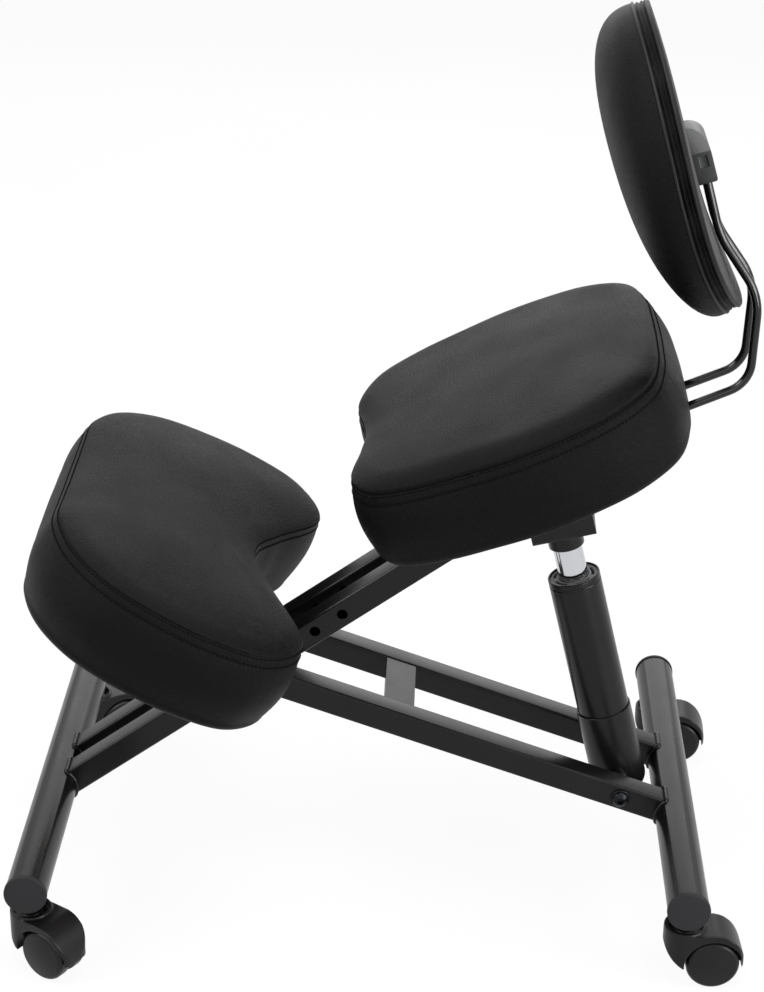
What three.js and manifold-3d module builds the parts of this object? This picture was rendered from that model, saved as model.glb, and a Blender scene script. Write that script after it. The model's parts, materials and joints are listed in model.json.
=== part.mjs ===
// Kneeling chair on four twin-wheel casters. Two crossed pairs of square rails, hinged where they
// cross and held apart by a gas lift, carry a seat pad, a knee pad and a small padded backrest.
// Millimetres, +Z up. The chair faces -Y and its width lies along X, with its left side at +X.
// The origin is the centre of its footprint on the floor.
import * as THREE from 'three';
import { mergeVertices } from 'three/addons/utils/BufferGeometryUtils.js';
import Module from 'manifold-3d';

const wasm = await Module();
wasm.setup();

const degrees = Math.PI / 180;
const quarter = Math.PI / 2;

// Clearances
const seatGap = 0.3; // between a piece and what it seats on
const boreGap = 0.2; // round a bolt, rod or shank in its hole
const overrun = 3; // how far a cutting tool runs past the face it cuts

// Frame
const wheelbase = 601; // between the axes of the two cross tubes
const crossTube = { radius: 19, wall: 1.5, length: 443 };
const endCap = { head: 5, rimRadius: 19.8, edge: 1.6, plug: 13 };
const rail = { side: 25, wall: 1.5, corner: 2, innerCorner: 0.6 };
const seatRail = { inner: 12, rise: 36 * degrees, drop: 5, pastLiftBolt: 34, holePitch: 32, holes: 4 };
const kneeRail = { rise: 19.3 * degrees, length: 574 };
const pivotWasher = { radius: 10, thickness: 2 };
const crossPlate = { width: 30, thickness: 3, belowRailTop: 1, fromRearTube: 287 };
const columnBoltFromTube = 57; // along the knee rails, from the rear cross tube
const liftBoltFromPivot = 332; // along the seat rails, from the bolt where the rails cross
// Turns of the seat rails about that bolt: lowered, at rest and raised
const railTravel = [-3.6 * degrees, 0, 11.6 * degrees];

// Bolts with domed, flanged heads and domed nuts
const bolt = {
  radius: 5, flangeRadius: 9.5, flange: 1.5, headRadius: 7.8, headHeight: 6.4, recessRadius: 2.7, recess: 2.2,
};
const boltSides = 12;
const capNut = { radius: 8.5, height: 9, dome: 5, wall: 1.6 };

// Gas lift, with heights along its axis from the lower bolt
const cup = { radius: 26.5, top: 67.5, bottom: -26.5, roundness: 16, seat: 12, bossRadius: 9.5 };
const column = {
  radius: 25, wall: 1.6, top: 213.5, floor: 4, grooveBelow: 8, grooveWidth: 2, grooveDepth: 0.6,
};
const bushing = {
  length: 34, below: 1.4, slots: 5, slotInner: 17, slotOuter: 20, slotDepth: 5, slotTurnShare: 0.7,
};
const cylinder = { radius: 14, bottom: 70, taperRadius: 13, wall: 2, headBelowBolt: 32 };
const piston = { radius: 5, footRadius: 12, foot: 4, top: 145 };
const socket = { radius: 17, below: 30, lip: 1.5, belowHead: 2 };
const bracket = {
  length: 60, offset: 1.5, thickness: 3, belowBolt: 56, headRadius: 13, bend: 4, openPivotGap: 1.2,
};
const button = { radius: 3.5, rise: 6, depth: 10, travel: 4, edge: 0.5 };

// Release lever, out through the right-hand side of the lift bracket
const lever = {
  width: 16, thickness: 3, inner: 6, outer: 152, pinOut: 8, paddleWidth: 26, paddle: 46, droop: 9,
};
const leverPin = { radius: 2, ear: 2.4, earRadius: 6 };
const leverSlot = { below: 4, above: 2, side: 1.2 };

// Pads. Each is drawn in its own tilted frame, whose zero height is the seam round its top.
// Its rise is from the axes of the cross tubes
const seatPad = {
  tilt: 23.7 * degrees, centreY: 428, rise: 417.5, notch: -1, halfWidth: 174, depth: 75.4, boardUnder: 64.7,
  shoulder: 11.7, crown: 8, shoulderInset: 25, flare: 6.8, bulge: 5.8, roll: 12.4, boardInset: 27,
};
const kneePad = {
  tilt: -26.7 * degrees, centreY: 125.9, rise: 277.1, notch: 1, halfWidth: 200, depth: 88.4, boardUnder: 78,
  shoulder: 5.5, crown: 12.4, shoulderInset: 20, flare: 0, bulge: 8.7, roll: 11.3, boardInset: 28,
};
const outlineStep = 15 * degrees;
const outlinePoints = 40;
// Distances of each outline from its pad's middle, one step apart from the notch, in half widths
const seatOutlineShares = [
  0.705, 0.811, 1.005, 1.078, 1.035, 0.994, 1, 1.019, 1.053, 1.037, 0.929, 0.846, 0.82,
];
const kneeOutlineShares = [
  0.384, 0.413, 0.561, 0.967, 1.073, 1.045, 1, 0.964, 0.889, 0.771, 0.637, 0.569, 0.55,
];
const board = { thickness: 12, edge: 2 };
const padGroove = 0.8; // clearance of the grooves that rails and rods press into a pad

// Steel mounts under the boards, with a flange down the outside of each rail
const mountPlate = 3;
const seatMount = {
  halfWidthShare: 0.448, frontShare: -0.448, backShare: 0.609, corner: 10,
  flangeFront: -36, flangeBack: 36, cover: 11,
};
const kneeMount = {
  halfWidthShare: 0.42, frontShare: -0.38, backShare: 0.22, corner: 10,
  flangeFront: -50, flangeBack: 38, cover: 3,
};

// Backrest rod: one hairpin of round bar, its ends clamped under the seat
const backRod = {
  radius: 4, inClamp: 14, seatHalf: 26, lowerHalf: 24, middleHalf: 22, upperHalf: 18, topHalf: 15, topUp: 6,
  lowerY: 645, middleY: 648, middleRise: 516, bendY: 610, bendRise: 570,
  lowerBend: 30, middleBend: 60, upperBend: 90,
};
const rodClamp = { length: 40, fromMountBack: 4, foot: 14, thickness: 2 };

// Backrest, upright on a leaning and gently bowed spine
const backrest = {
  halfWidth: 160, halfHeight: 130, centreY: 574.1, rise: 640.1, leanShare: 0.303, bowRadius: 809, flare: 498,
  squareness: 1.95, band: 12.3, drawIn: 2.5, crown: 47.7, crownSquareness: 2.6, topSwellShare: 0.166,
  shellThickness: 2.5, shellDome: 4.5,
};
// Rings of its shell and of its cushion's front
const domeShares = [0.4, 0.75, 1];
const crownAngleShares = [0.22, 0.42, 0.61, 0.8];
const housing = {
  halfWidth: 32, foot: 25, shoulder: 7, crest: 24, depth: 16.5, roundFrom: 2, wall: 3, corner: 6, edge: 2,
  pocketLength: 11, pocketHeight: 8, pocketDepth: 1.6,
};

// Casters, with lengths from the stem's axis
const caster = { fromCapEnd: 25, trail: 25.5, frontSwivel: 34 * degrees, rearSwivel: -3 * degrees };
const wheel = { radius: 25, inner: 3.9, outer: 19, edge: 3.5, dome: 0.8, innerEdge: 1.2, sides: 20 };
const hood = {
  halfWidth: 19.5, top: 57.5, collarTop: 60, reach: 29.3, height: 33.5, tailCorner: 14, tailTip: 21.5,
  bay: 26.8, web: 3.4, webFloor: 14, lipReach: 2.6, lipHeight: 22.5, noseHeight: 44, noseBendShare: 0.4,
};
const hoodRecess = { inner: 8.5, outer: 16.5, depth: 5, bossRise: 2 };
const stem = { radius: 5.5, inHood: 14, neck: 5.7, flangeRadius: 12, flange: 3, shank: 5, rise: 20 };
const axle = { radius: 3, half: 14 };

// Finishes
function finish(color, roughness, metalness) {
  return new THREE.MeshStandardMaterial({ color, roughness, metalness });
}

const powderCoat = () => finish(0x26272a, 0.42, 0.35);
const chrome = () => finish(0xd8dadd, 0.12, 1);
const zincSteel = () => finish(0x8f9296, 0.35, 0.9);
const blackPlastic = () => finish(0x1f2022, 0.5, 0);
const greyPlastic = () => finish(0x3a3b3e, 0.6, 0);
const nylon = () => finish(0xa9abad, 0.55, 0);
const vinyl = () => finish(0x17181a, 0.48, 0);
const plywood = () => finish(0xb08a5c, 0.7, 0);
const rubber = () => finish(0x2c2d30, 0.6, 0);

// One closed skin with shared corners, no empty faces, and its faces pointing out
function clean(geometry) {
  const bare = geometry.clone();
  bare.deleteAttribute('normal');
  bare.deleteAttribute('uv');
  const merged = mergeVertices(bare);
  const place = merged.attributes.position;
  const corners = merged.index.array;
  const [a, b, c] = [new THREE.Vector3(), new THREE.Vector3(), new THREE.Vector3()];
  const triangles = [];
  let volume = 0;
  for (let i = 0; i < corners.length; i += 3) {
    const [p, q, r] = corners.slice(i, i + 3);
    if (p !== q && q !== r && r !== p) {
      triangles.push([p, q, r]);
      a.fromBufferAttribute(place, p);
      b.fromBufferAttribute(place, q);
      c.fromBufferAttribute(place, r);
      volume += a.dot(b.cross(c));
    }
  }
  merged.setIndex(triangles.flatMap(([p, q, r]) => (volume < 0 ? [p, r, q] : [p, q, r])));
  return merged;
}

function solidOf(geometry) {
  const skin = clean(geometry);
  return new wasm.Manifold(new wasm.Mesh({
    numProp: 3,
    vertProperties: new Float32Array(skin.attributes.position.array),
    triVerts: new Uint32Array(skin.index.array),
  }));
}

function geometryOf(solid) {
  const mesh = solid.getMesh();
  const geometry = new THREE.BufferGeometry();
  geometry.setAttribute('position', new THREE.BufferAttribute(mesh.vertProperties, mesh.numProp));
  geometry.setIndex(new THREE.BufferAttribute(mesh.triVerts, 1));
  return geometry;
}

function cut(geometry, ...tools) {
  return geometryOf(tools.reduce((solid, tool) => solid.subtract(solidOf(tool)), solidOf(geometry)));
}

function join(first, ...others) {
  return geometryOf(others.reduce((solid, other) => solid.add(solidOf(other)), solidOf(first)));
}

function shared(geometry, other) {
  return geometryOf(solidOf(geometry).intersect(solidOf(other)));
}

function node(name, geometry, material) {
  const skin = clean(geometry);
  skin.computeVertexNormals();
  const mesh = new THREE.Mesh(skin, material());
  mesh.name = name;
  return mesh;
}

function assembly(pieces, y = 0, z = 0, turn = 0) {
  const group = new THREE.Group();
  group.add(...pieces);
  group.position.set(0, y, z);
  group.rotation.x = turn;
  return group;
}

// Forms
const alongX = new THREE.Matrix4().makeBasis(
  new THREE.Vector3(0, 1, 0), new THREE.Vector3(0, 0, 1), new THREE.Vector3(1, 0, 0));
const alongY = new THREE.Matrix4().makeBasis(
  new THREE.Vector3(1, 0, 0), new THREE.Vector3(0, 0, 1), new THREE.Vector3(0, -1, 0));

function extrudeZ(shape, from, to, curveSegments = 4) {
  const body = new THREE.ExtrudeGeometry(shape, { depth: to - from, bevelEnabled: false, curveSegments });
  return body.translate(0, 0, from);
}

// The shape is drawn as (y, z)
function extrudeX(shape, from, to, curveSegments = 4) {
  return extrudeZ(shape, from, to, curveSegments).applyMatrix4(alongX);
}

// The shape is drawn as (x, z)
function extrudeY(shape, from, to, curveSegments = 4) {
  return extrudeZ(shape, -to, -from, curveSegments).applyMatrix4(alongY);
}

function barX(radius, from, to, y, z, sides = 24) {
  const bar = new THREE.CylinderGeometry(radius, radius, to - from, sides);
  return bar.rotateZ(-quarter).translate((from + to) / 2, y, z);
}

function barY(radius, from, to, x, z, sides = 12) {
  return new THREE.CylinderGeometry(radius, radius, to - from, sides).translate(x, (from + to) / 2, z);
}

function barZ(radius, from, to, x, y, sides = 24) {
  const bar = new THREE.CylinderGeometry(radius, radius, to - from, sides);
  return bar.rotateX(quarter).translate(x, y, (from + to) / 2);
}

function block(x0, x1, y0, y1, z0, z1) {
  const box = new THREE.BoxGeometry(x1 - x0, y1 - y0, z1 - z0);
  return box.translate((x0 + x1) / 2, (y0 + y1) / 2, (z0 + z1) / 2);
}

function revolveX(profile, sides = 24, phase = 0) {
  const points = profile.map(([radius, along]) => new THREE.Vector2(radius, along));
  return new THREE.LatheGeometry(points, sides, phase).rotateZ(-quarter);
}

function revolveZ(profile, sides = 24) {
  const points = profile.map(([radius, height]) => new THREE.Vector2(radius, height));
  return new THREE.LatheGeometry(points, sides).rotateX(quarter);
}

function roundedRectangle(x0, x1, y0, y1, corner) {
  const shape = new THREE.Shape();
  shape.moveTo(x0 + corner, y0);
  shape.lineTo(x1 - corner, y0);
  shape.absarc(x1 - corner, y0 + corner, corner, -quarter, 0);
  shape.lineTo(x1, y1 - corner);
  shape.absarc(x1 - corner, y1 - corner, corner, 0, quarter);
  shape.lineTo(x0 + corner, y1);
  shape.absarc(x0 + corner, y1 - corner, corner, quarter, 2 * quarter);
  shape.lineTo(x0, y0 + corner);
  shape.absarc(x0 + corner, y0 + corner, corner, 2 * quarter, 3 * quarter);
  return shape;
}

function polygon(points) {
  return new THREE.Shape(points.map(([x, y]) => new THREE.Vector2(x, y)));
}

// A skin through rings with equal counts of points, closed by a point at each end
function loft(firstPole, rings, lastPole) {
  const points = [firstPole, ...rings.flat(), lastPole];
  const count = rings[0].length;
  const last = points.length - 1;
  const triangles = [];
  for (let i = 0; i < count; i += 1) {
    const next = (i + 1) % count;
    triangles.push(0, 1 + i, 1 + next);
    for (let ring = 0; ring < rings.length - 1; ring += 1) {
      const here = 1 + ring * count;
      const below = here + count;
      triangles.push(here + i, below + i, below + next, here + i, below + next, here + next);
    }
    triangles.push(last, last - count + next, last - count + i);
  }
  const places = points.flatMap((point) => point.toArray());
  const geometry = new THREE.BufferGeometry();
  geometry.setAttribute('position', new THREE.Float32BufferAttribute(places, 3));
  geometry.setIndex(triangles);
  return geometry;
}

// Places worked out from these sizes
const tubeBottom = hood.collarTop + stem.neck + stem.flange + seatGap;
const tubeHeight = tubeBottom + crossTube.radius;
const seatRailPlace = new THREE.Matrix4().makeRotationX(seatRail.rise).setPosition(0, 0, tubeHeight);
const kneeRailPlace = new THREE.Matrix4().makeRotationX(-kneeRail.rise).setPosition(0, wheelbase, tubeHeight);
const reach = wheelbase - seatRail.drop * Math.sin(seatRail.rise);
const crossing = seatRail.rise + kneeRail.rise;
const pivotOnSeatRail = (reach * Math.sin(kneeRail.rise)
  + seatRail.drop * Math.cos(seatRail.rise) * Math.cos(kneeRail.rise)) / Math.sin(crossing);
const pivotOnKneeRail = (pivotOnSeatRail * Math.sin(seatRail.rise)
  - seatRail.drop * Math.cos(seatRail.rise)) / Math.sin(kneeRail.rise);
const liftBoltOnSeatRail = pivotOnSeatRail + liftBoltFromPivot;
const pivot = new THREE.Vector3(0, pivotOnSeatRail, -seatRail.drop).applyMatrix4(seatRailPlace);
const liftBolt = new THREE.Vector3(0, liftBoltOnSeatRail, -seatRail.drop).applyMatrix4(seatRailPlace);
const columnBolt = new THREE.Vector3(0, -columnBoltFromTube, 0).applyMatrix4(kneeRailPlace);
const liftLean = Math.atan2(columnBolt.y - liftBolt.y, liftBolt.z - columnBolt.z);
const liftLength = columnBolt.distanceTo(liftBolt);
const seatRailOuter = seatRail.inner + rail.side;
const kneeRailInner = seatRailOuter + pivotWasher.thickness;
const kneeRailOuter = kneeRailInner + rail.side;
const seatFlangeInner = seatRailOuter + seatGap;
const kneeFlangeInner = kneeRailOuter + seatGap;
const bracketInner = seatFlangeInner + mountPlate + 2 * seatGap;
const bracketOuter = bracketInner + bracket.thickness;
const bracketFloor = liftLength - bracket.belowBolt;
const cylinderHead = liftLength - cylinder.headBelowBolt;
const leverUnder = cylinderHead + button.rise + seatGap;
const leverPinX = -bracketOuter - lever.pinOut;
const leverPinHeight = leverUnder + lever.thickness / 2;
const leverPinHalf = lever.width / 2 + leverSlot.side + leverPin.ear;
const stemBottom = hood.collarTop - stem.inHood;
const stemX = crossTube.length / 2 + endCap.head - caster.fromCapEnd;
const wheelHeight = wheel.radius * Math.cos(Math.PI / wheel.sides);
const rodUnder = seatPad.boardUnder + seatGap + mountPlate + seatGap + backRod.radius;
const clampBack = seatPad.halfWidth * seatMount.backShare - rodClamp.fromMountBack;
const clampFront = clampBack - rodClamp.length;
const backrestZ = tubeHeight + backrest.rise;

function padPlace(pad) {
  return new THREE.Matrix4().makeRotationX(pad.tilt).setPosition(0, pad.centreY, tubeHeight + pad.rise);
}

function intoPad(pad, place = new THREE.Matrix4()) {
  return padPlace(pad).invert().multiply(place);
}

// Cross tubes and their end caps
function makeCrossTube(name) {
  const half = crossTube.length / 2;
  const inner = crossTube.radius - crossTube.wall;
  const tube = revolveX([
    [inner, -half], [crossTube.radius, -half], [crossTube.radius, half], [inner, half], [inner, -half],
  ], 32);
  const bottom = -crossTube.radius - overrun;
  const holes = [-stemX, stemX].map((x) => barZ(stem.shank + boreGap, bottom, 0, x, 0, 12));
  return node(name, cut(tube, ...holes), powderCoat);
}

function makeEndCap(name, side) {
  const plug = crossTube.radius - crossTube.wall - boreGap;
  const cap = revolveX([
    [0, -endCap.plug], [plug - endCap.edge, -endCap.plug],
    [plug, -endCap.plug + endCap.edge], [plug, seatGap],
    [endCap.rimRadius, seatGap], [endCap.rimRadius, endCap.head - 2 * endCap.edge],
    [endCap.rimRadius - endCap.edge, endCap.head - endCap.edge / 2],
    [plug / 2, endCap.head], [0, endCap.head],
  ], 18);
  const mesh = node(name, cap.scale(side, 1, 1), greyPlastic);
  mesh.position.x = side * crossTube.length / 2;
  return mesh;
}

// Square rails, drawn along Y from the axis of their cross tube
function makeRail(name, side, inner, from, to, axisHeight, boltPlaces) {
  const half = rail.side / 2;
  const bore = half - rail.wall;
  const outer = inner + rail.side;
  const section = roundedRectangle(-half, half, -half, half, rail.corner);
  section.holes.push(roundedRectangle(-bore, bore, -bore, bore, rail.innerCorner));
  const tube = extrudeY(section, from, to, 1).translate(inner + half, 0, axisHeight);
  const cope = barX(crossTube.radius + seatGap, inner - overrun, outer + overrun, 0, 0, 32);
  const holes = boltPlaces.map((y) => barX(
    bolt.radius + boreGap, inner - overrun, outer + overrun, y, axisHeight, boltSides));
  return node(name, cut(tube, cope, ...holes).scale(side, 1, 1), powderCoat);
}

function makeSeatRail(name, side) {
  const row = Array.from({ length: seatRail.holes }, (_, i) => pivotOnSeatRail + i * seatRail.holePitch);
  const end = liftBoltOnSeatRail + seatRail.pastLiftBolt;
  return makeRail(name, side, seatRail.inner, 0, end, -seatRail.drop, [...row, liftBoltOnSeatRail]);
}

function makeKneeRail(name, side) {
  return makeRail(name, side, kneeRailInner, -kneeRail.length, 0, 0, [-pivotOnKneeRail, -columnBoltFromTube]);
}

function makeCrossPlate() {
  const half = kneeRailInner - seatGap;
  const top = rail.side / 2 - crossPlate.belowRailTop;
  const middle = -crossPlate.fromRearTube;
  return node('rail_cross_plate', block(
    -half, half, middle - crossPlate.width / 2, middle + crossPlate.width / 2,
    top - crossPlate.thickness, top,
  ), powderCoat);
}

// Bolts lie along X, with their heads on the chair's left side and their nuts on its right
function makeBolt(name, grip) {
  const flangeTop = grip + seatGap + bolt.flange;
  const top = grip + seatGap + bolt.headHeight;
  const shoulder = bolt.headRadius - bolt.recessRadius;
  return node(name, revolveX([
    [0, -grip - capNut.height + capNut.wall], [bolt.radius, -grip - capNut.height + capNut.wall],
    [bolt.radius, grip + seatGap], [bolt.flangeRadius, grip + seatGap], [bolt.flangeRadius, flangeTop],
    [bolt.headRadius, flangeTop], [bolt.headRadius, (flangeTop + top) / 2],
    [bolt.headRadius - shoulder / 3, (flangeTop + 3 * top) / 4], [bolt.recessRadius, top],
    [bolt.recessRadius, top - bolt.recess], [0, top - bolt.recess],
  ], boltSides), zincSteel);
}

function makeCapNut(name, grip) {
  const bore = bolt.radius + boreGap;
  const inside = capNut.height - capNut.wall + seatGap;
  const nut = revolveX([
    [bore, 0], [capNut.radius, 0], [capNut.radius, capNut.height - capNut.dome],
    [(capNut.radius + bore) / 2, capNut.height - capNut.dome / 4], [0, capNut.height + seatGap], [0, inside],
    [bore, inside], [bore, 0],
  ], boltSides);
  return node(name, nut.translate(grip + seatGap, 0, 0).scale(-1, 1, 1), zincSteel);
}

function makePivotWasher(name, side) {
  const bore = bolt.radius + boreGap;
  const inner = seatRailOuter + boreGap;
  const outer = kneeRailInner - boreGap;
  const ring = revolveX([
    [bore, inner], [pivotWasher.radius, inner], [pivotWasher.radius, outer], [bore, outer], [bore, inner],
  ], boltSides);
  return node(name, ring.scale(side, 1, 1), nylon);
}

// Gas lift, drawn along +Z from the lower bolt
function makeCup() {
  const bore = column.radius + boreGap;
  const bend = [1, 2, 3].map((step) => {
    const angle = step * quarter / 4;
    return [
      cup.radius - cup.roundness * (1 - Math.sin(angle)), cup.bottom + cup.roundness * (1 - Math.cos(angle)),
    ];
  });
  const body = revolveZ([
    [0, cup.bottom], [cup.radius - cup.roundness, cup.bottom], ...bend,
    [cup.radius, cup.bottom + cup.roundness],
    [cup.radius, cup.top], [bore, cup.top], [bore, cup.seat], [0, cup.seat],
  ]);
  const half = kneeRailInner - seatGap;
  const boss = barX(cup.bossRadius, -half, half, 0, 0, 20);
  const boltHole = barX(bolt.radius + boreGap, -half - overrun, half + overrun, 0, 0, boltSides);
  return node('column_cup', cut(join(body, boss), boltHole), powderCoat);
}

function makeColumn() {
  const inner = column.radius - column.wall;
  const from = cup.seat + seatGap;
  const groove = column.top - column.grooveBelow;
  return node('column_tube', revolveZ([
    [0, from], [column.radius, from], [column.radius, groove - column.grooveWidth],
    [column.radius - column.grooveDepth, groove - column.grooveWidth / 2], [column.radius, groove],
    [column.radius, column.top - column.wall / 2], [column.radius - column.wall / 2, column.top],
    [inner, column.top], [inner, from + column.floor], [0, from + column.floor],
  ]), powderCoat);
}

function makeBushing() {
  const top = column.top - bushing.below;
  const outer = column.radius - column.wall - boreGap;
  const bore = cylinder.radius + boreGap;
  const ring = revolveZ([
    [bore, top - bushing.length], [outer, top - bushing.length], [outer, top], [bore, top],
    [bore, top - bushing.length],
  ]);
  const pitch = 4 * quarter / bushing.slots;
  const slots = Array.from({ length: bushing.slots }, (_, i) => {
    const from = i * pitch;
    const to = from + pitch * bushing.slotTurnShare;
    const slot = new THREE.Shape();
    slot.absarc(0, 0, bushing.slotOuter, from, to, false);
    slot.absarc(0, 0, bushing.slotInner, to, from, true);
    return extrudeZ(slot, top - bushing.slotDepth, top + overrun, 3);
  });
  return node('guide_bushing', cut(ring, ...slots), nylon);
}

function makePistonRod() {
  const from = cup.seat + column.floor + 2 * seatGap;
  return node('piston_rod', revolveZ([
    [0, from], [piston.footRadius, from], [piston.footRadius, from + piston.foot],
    [piston.radius, from + piston.foot], [piston.radius, piston.top], [0, piston.top],
  ], 14), zincSteel);
}

function makeGasCylinder() {
  const inner = cylinder.radius - cylinder.wall;
  const guide = piston.radius + boreGap;
  const bore = button.radius + boreGap;
  const boreEnd = cylinderHead - button.depth;
  const chamberTop = boreEnd - cylinder.wall;
  const chamberBottom = cylinder.bottom + 2 * cylinder.wall;
  return node('gas_cylinder', revolveZ([
    [guide, cylinder.bottom], [cylinder.radius, cylinder.bottom],
    [cylinder.radius, bracketFloor - socket.below], [cylinder.taperRadius, cylinderHead],
    [bore, cylinderHead], [bore, boreEnd], [0, boreEnd], [0, chamberTop],
    [inner - cylinder.wall, chamberTop], [inner - cylinder.wall, chamberBottom], [guide, chamberBottom],
    [guide, cylinder.bottom],
  ]), chrome);
}

function makeSocket() {
  const bottom = bracketFloor - socket.below;
  const top = cylinderHead - socket.belowHead;
  return node('taper_socket', revolveZ([
    [cylinder.radius + seatGap, bottom], [socket.radius - socket.lip, bottom],
    [socket.radius, bottom + socket.lip],
    [socket.radius, top], [cylinder.radius + seatGap, top], [cylinder.radius + seatGap, bottom],
  ]), powderCoat);
}

// Folded channel whose floor carries the socket and whose sides hang on the lift bolt
function makeBracket() {
  const front = bracket.offset - bracket.length / 2;
  const rear = bracket.offset + bracket.length / 2;
  const top = liftLength + bracket.headRadius + overrun;
  const waist = bracketFloor + bracket.belowBolt / 2;
  const floorTop = bracketFloor + bracket.thickness;
  const side = new THREE.Shape();
  side.moveTo(front, bracketFloor);
  side.lineTo(rear, bracketFloor);
  side.lineTo(rear, waist);
  side.lineTo(bracket.headRadius, liftLength);
  side.absarc(0, liftLength, bracket.headRadius, 0, 2 * quarter);
  side.lineTo(front, waist);
  const fold = new THREE.Shape();
  fold.moveTo(-bracketOuter, top);
  fold.lineTo(-bracketOuter, bracketFloor + bracket.bend);
  const bendX = -bracketOuter + bracket.bend;
  fold.absarc(bendX, bracketFloor + bracket.bend, bracket.bend, 2 * quarter, 3 * quarter);
  fold.lineTo(bracketOuter - bracket.bend, bracketFloor);
  fold.absarc(bracketOuter - bracket.bend, bracketFloor + bracket.bend, bracket.bend, -quarter, 0);
  fold.lineTo(bracketOuter, top);
  fold.lineTo(bracketInner, top);
  fold.lineTo(bracketInner, floorTop);
  fold.lineTo(-bracketInner, floorTop);
  fold.lineTo(-bracketInner, top);
  const channel = shared(extrudeY(fold, front - overrun, rear + overrun, 3),
    extrudeX(side, -bracketOuter - overrun, bracketOuter + overrun, 6));
  const ear = new THREE.Shape();
  ear.moveTo(-bracketOuter + bracket.thickness / 2, leverPinHeight - leverPin.earRadius);
  ear.lineTo(leverPinX, leverPinHeight - leverPin.earRadius);
  ear.absarc(leverPinX, leverPinHeight, leverPin.earRadius, -quarter, -3 * quarter, true);
  ear.lineTo(-bracketOuter + bracket.thickness / 2, leverPinHeight + leverPin.earRadius);
  const ears = [[-leverPinHalf, -leverPinHalf + leverPin.ear], [leverPinHalf - leverPin.ear, leverPinHalf]];
  const slotHalf = lever.width / 2 + leverSlot.side;
  const tools = [
    block(-bracketOuter - overrun, -bracketInner + overrun, -slotHalf, slotHalf,
      leverUnder - leverSlot.below, leverUnder + lever.thickness + leverSlot.above),
    barY(leverPin.radius + boreGap, -leverPinHalf - overrun, leverPinHalf + overrun,
      leverPinX, leverPinHeight, 10),
    barX(bolt.radius + bracket.openPivotGap, -bracketOuter - overrun, bracketOuter + overrun,
      0, liftLength, boltSides),
    barZ(socket.radius + seatGap, bracketFloor - overrun, floorTop + overrun, 0, 0, 28),
  ];
  const body = join(channel, ...ears.map(([from, to]) => extrudeY(ear, from, to, 4)));
  return node('lift_bracket', cut(body, ...tools), powderCoat);
}

function makeButton() {
  const from = cylinderHead - button.depth + button.travel + seatGap;
  const top = cylinderHead + button.rise;
  return node('valve_button', revolveZ([
    [0, from], [button.radius, from], [button.radius, top - button.edge],
    [button.radius - button.edge, top], [0, top],
  ], 14), zincSteel);
}

function makeLever() {
  const top = leverUnder + lever.thickness;
  const bend = -lever.outer + lever.paddle;
  const middle = (bend - lever.outer) / 2;
  const half = lever.width / 2;
  const wide = lever.paddleWidth / 2;
  const side = new THREE.Shape();
  side.moveTo(lever.inner, leverUnder);
  side.lineTo(lever.inner, top);
  side.lineTo(bend, top);
  side.quadraticCurveTo(middle, top, -lever.outer, top - lever.droop);
  side.lineTo(-lever.outer, leverUnder - lever.droop);
  side.quadraticCurveTo(middle, leverUnder, bend, leverUnder);
  const plan = new THREE.Shape();
  plan.moveTo(lever.inner + overrun, -half);
  plan.lineTo(lever.inner + overrun, half);
  plan.lineTo(bend, half);
  plan.quadraticCurveTo(bend - half, half, bend - wide, wide);
  plan.lineTo(-lever.outer + wide, wide);
  plan.absarc(-lever.outer + wide, 0, wide, quarter, 3 * quarter);
  plan.lineTo(bend - wide, -wide);
  plan.quadraticCurveTo(bend - half, -half, bend, -half);
  const bar = shared(extrudeY(side, -wide - overrun, wide + overrun, 5),
    extrudeZ(plan, leverUnder - lever.droop - overrun, top + overrun, 6));
  const knuckle = barY(2 * leverPin.radius, -half, half, leverPinX, leverPinHeight, 16);
  const hole = barY(leverPin.radius + boreGap, -wide, wide, leverPinX, leverPinHeight, 10);
  return node('release_lever', cut(join(bar, knuckle), hole), blackPlastic);
}

function makeLeverPin() {
  const half = leverPinHalf + leverPin.radius / 2;
  return node('lever_pin', barY(leverPin.radius, -half, half, leverPinX, leverPinHeight, 10), zincSteel);
}

// Pads
function padOutline(pad, outlineShares) {
  const half = outlineShares.map((share, i) => {
    const radius = share * pad.halfWidth;
    const angle = i * outlineStep;
    return new THREE.Vector3(radius * Math.sin(angle), pad.notch * radius * Math.cos(angle), 0);
  });
  const otherHalf = half.slice(1, -1).reverse().map((point) => new THREE.Vector3(-point.x, point.y, 0));
  const curve = new THREE.CatmullRomCurve3([...half, ...otherHalf], true);
  return curve.getSpacedPoints(outlinePoints).slice(0, outlinePoints);
}

function insetRing(outline, inset, height) {
  return outline.map((point) => {
    const scale = 1 - inset / point.length();
    return new THREE.Vector3(point.x * scale, point.y * scale, height);
  });
}

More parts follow.
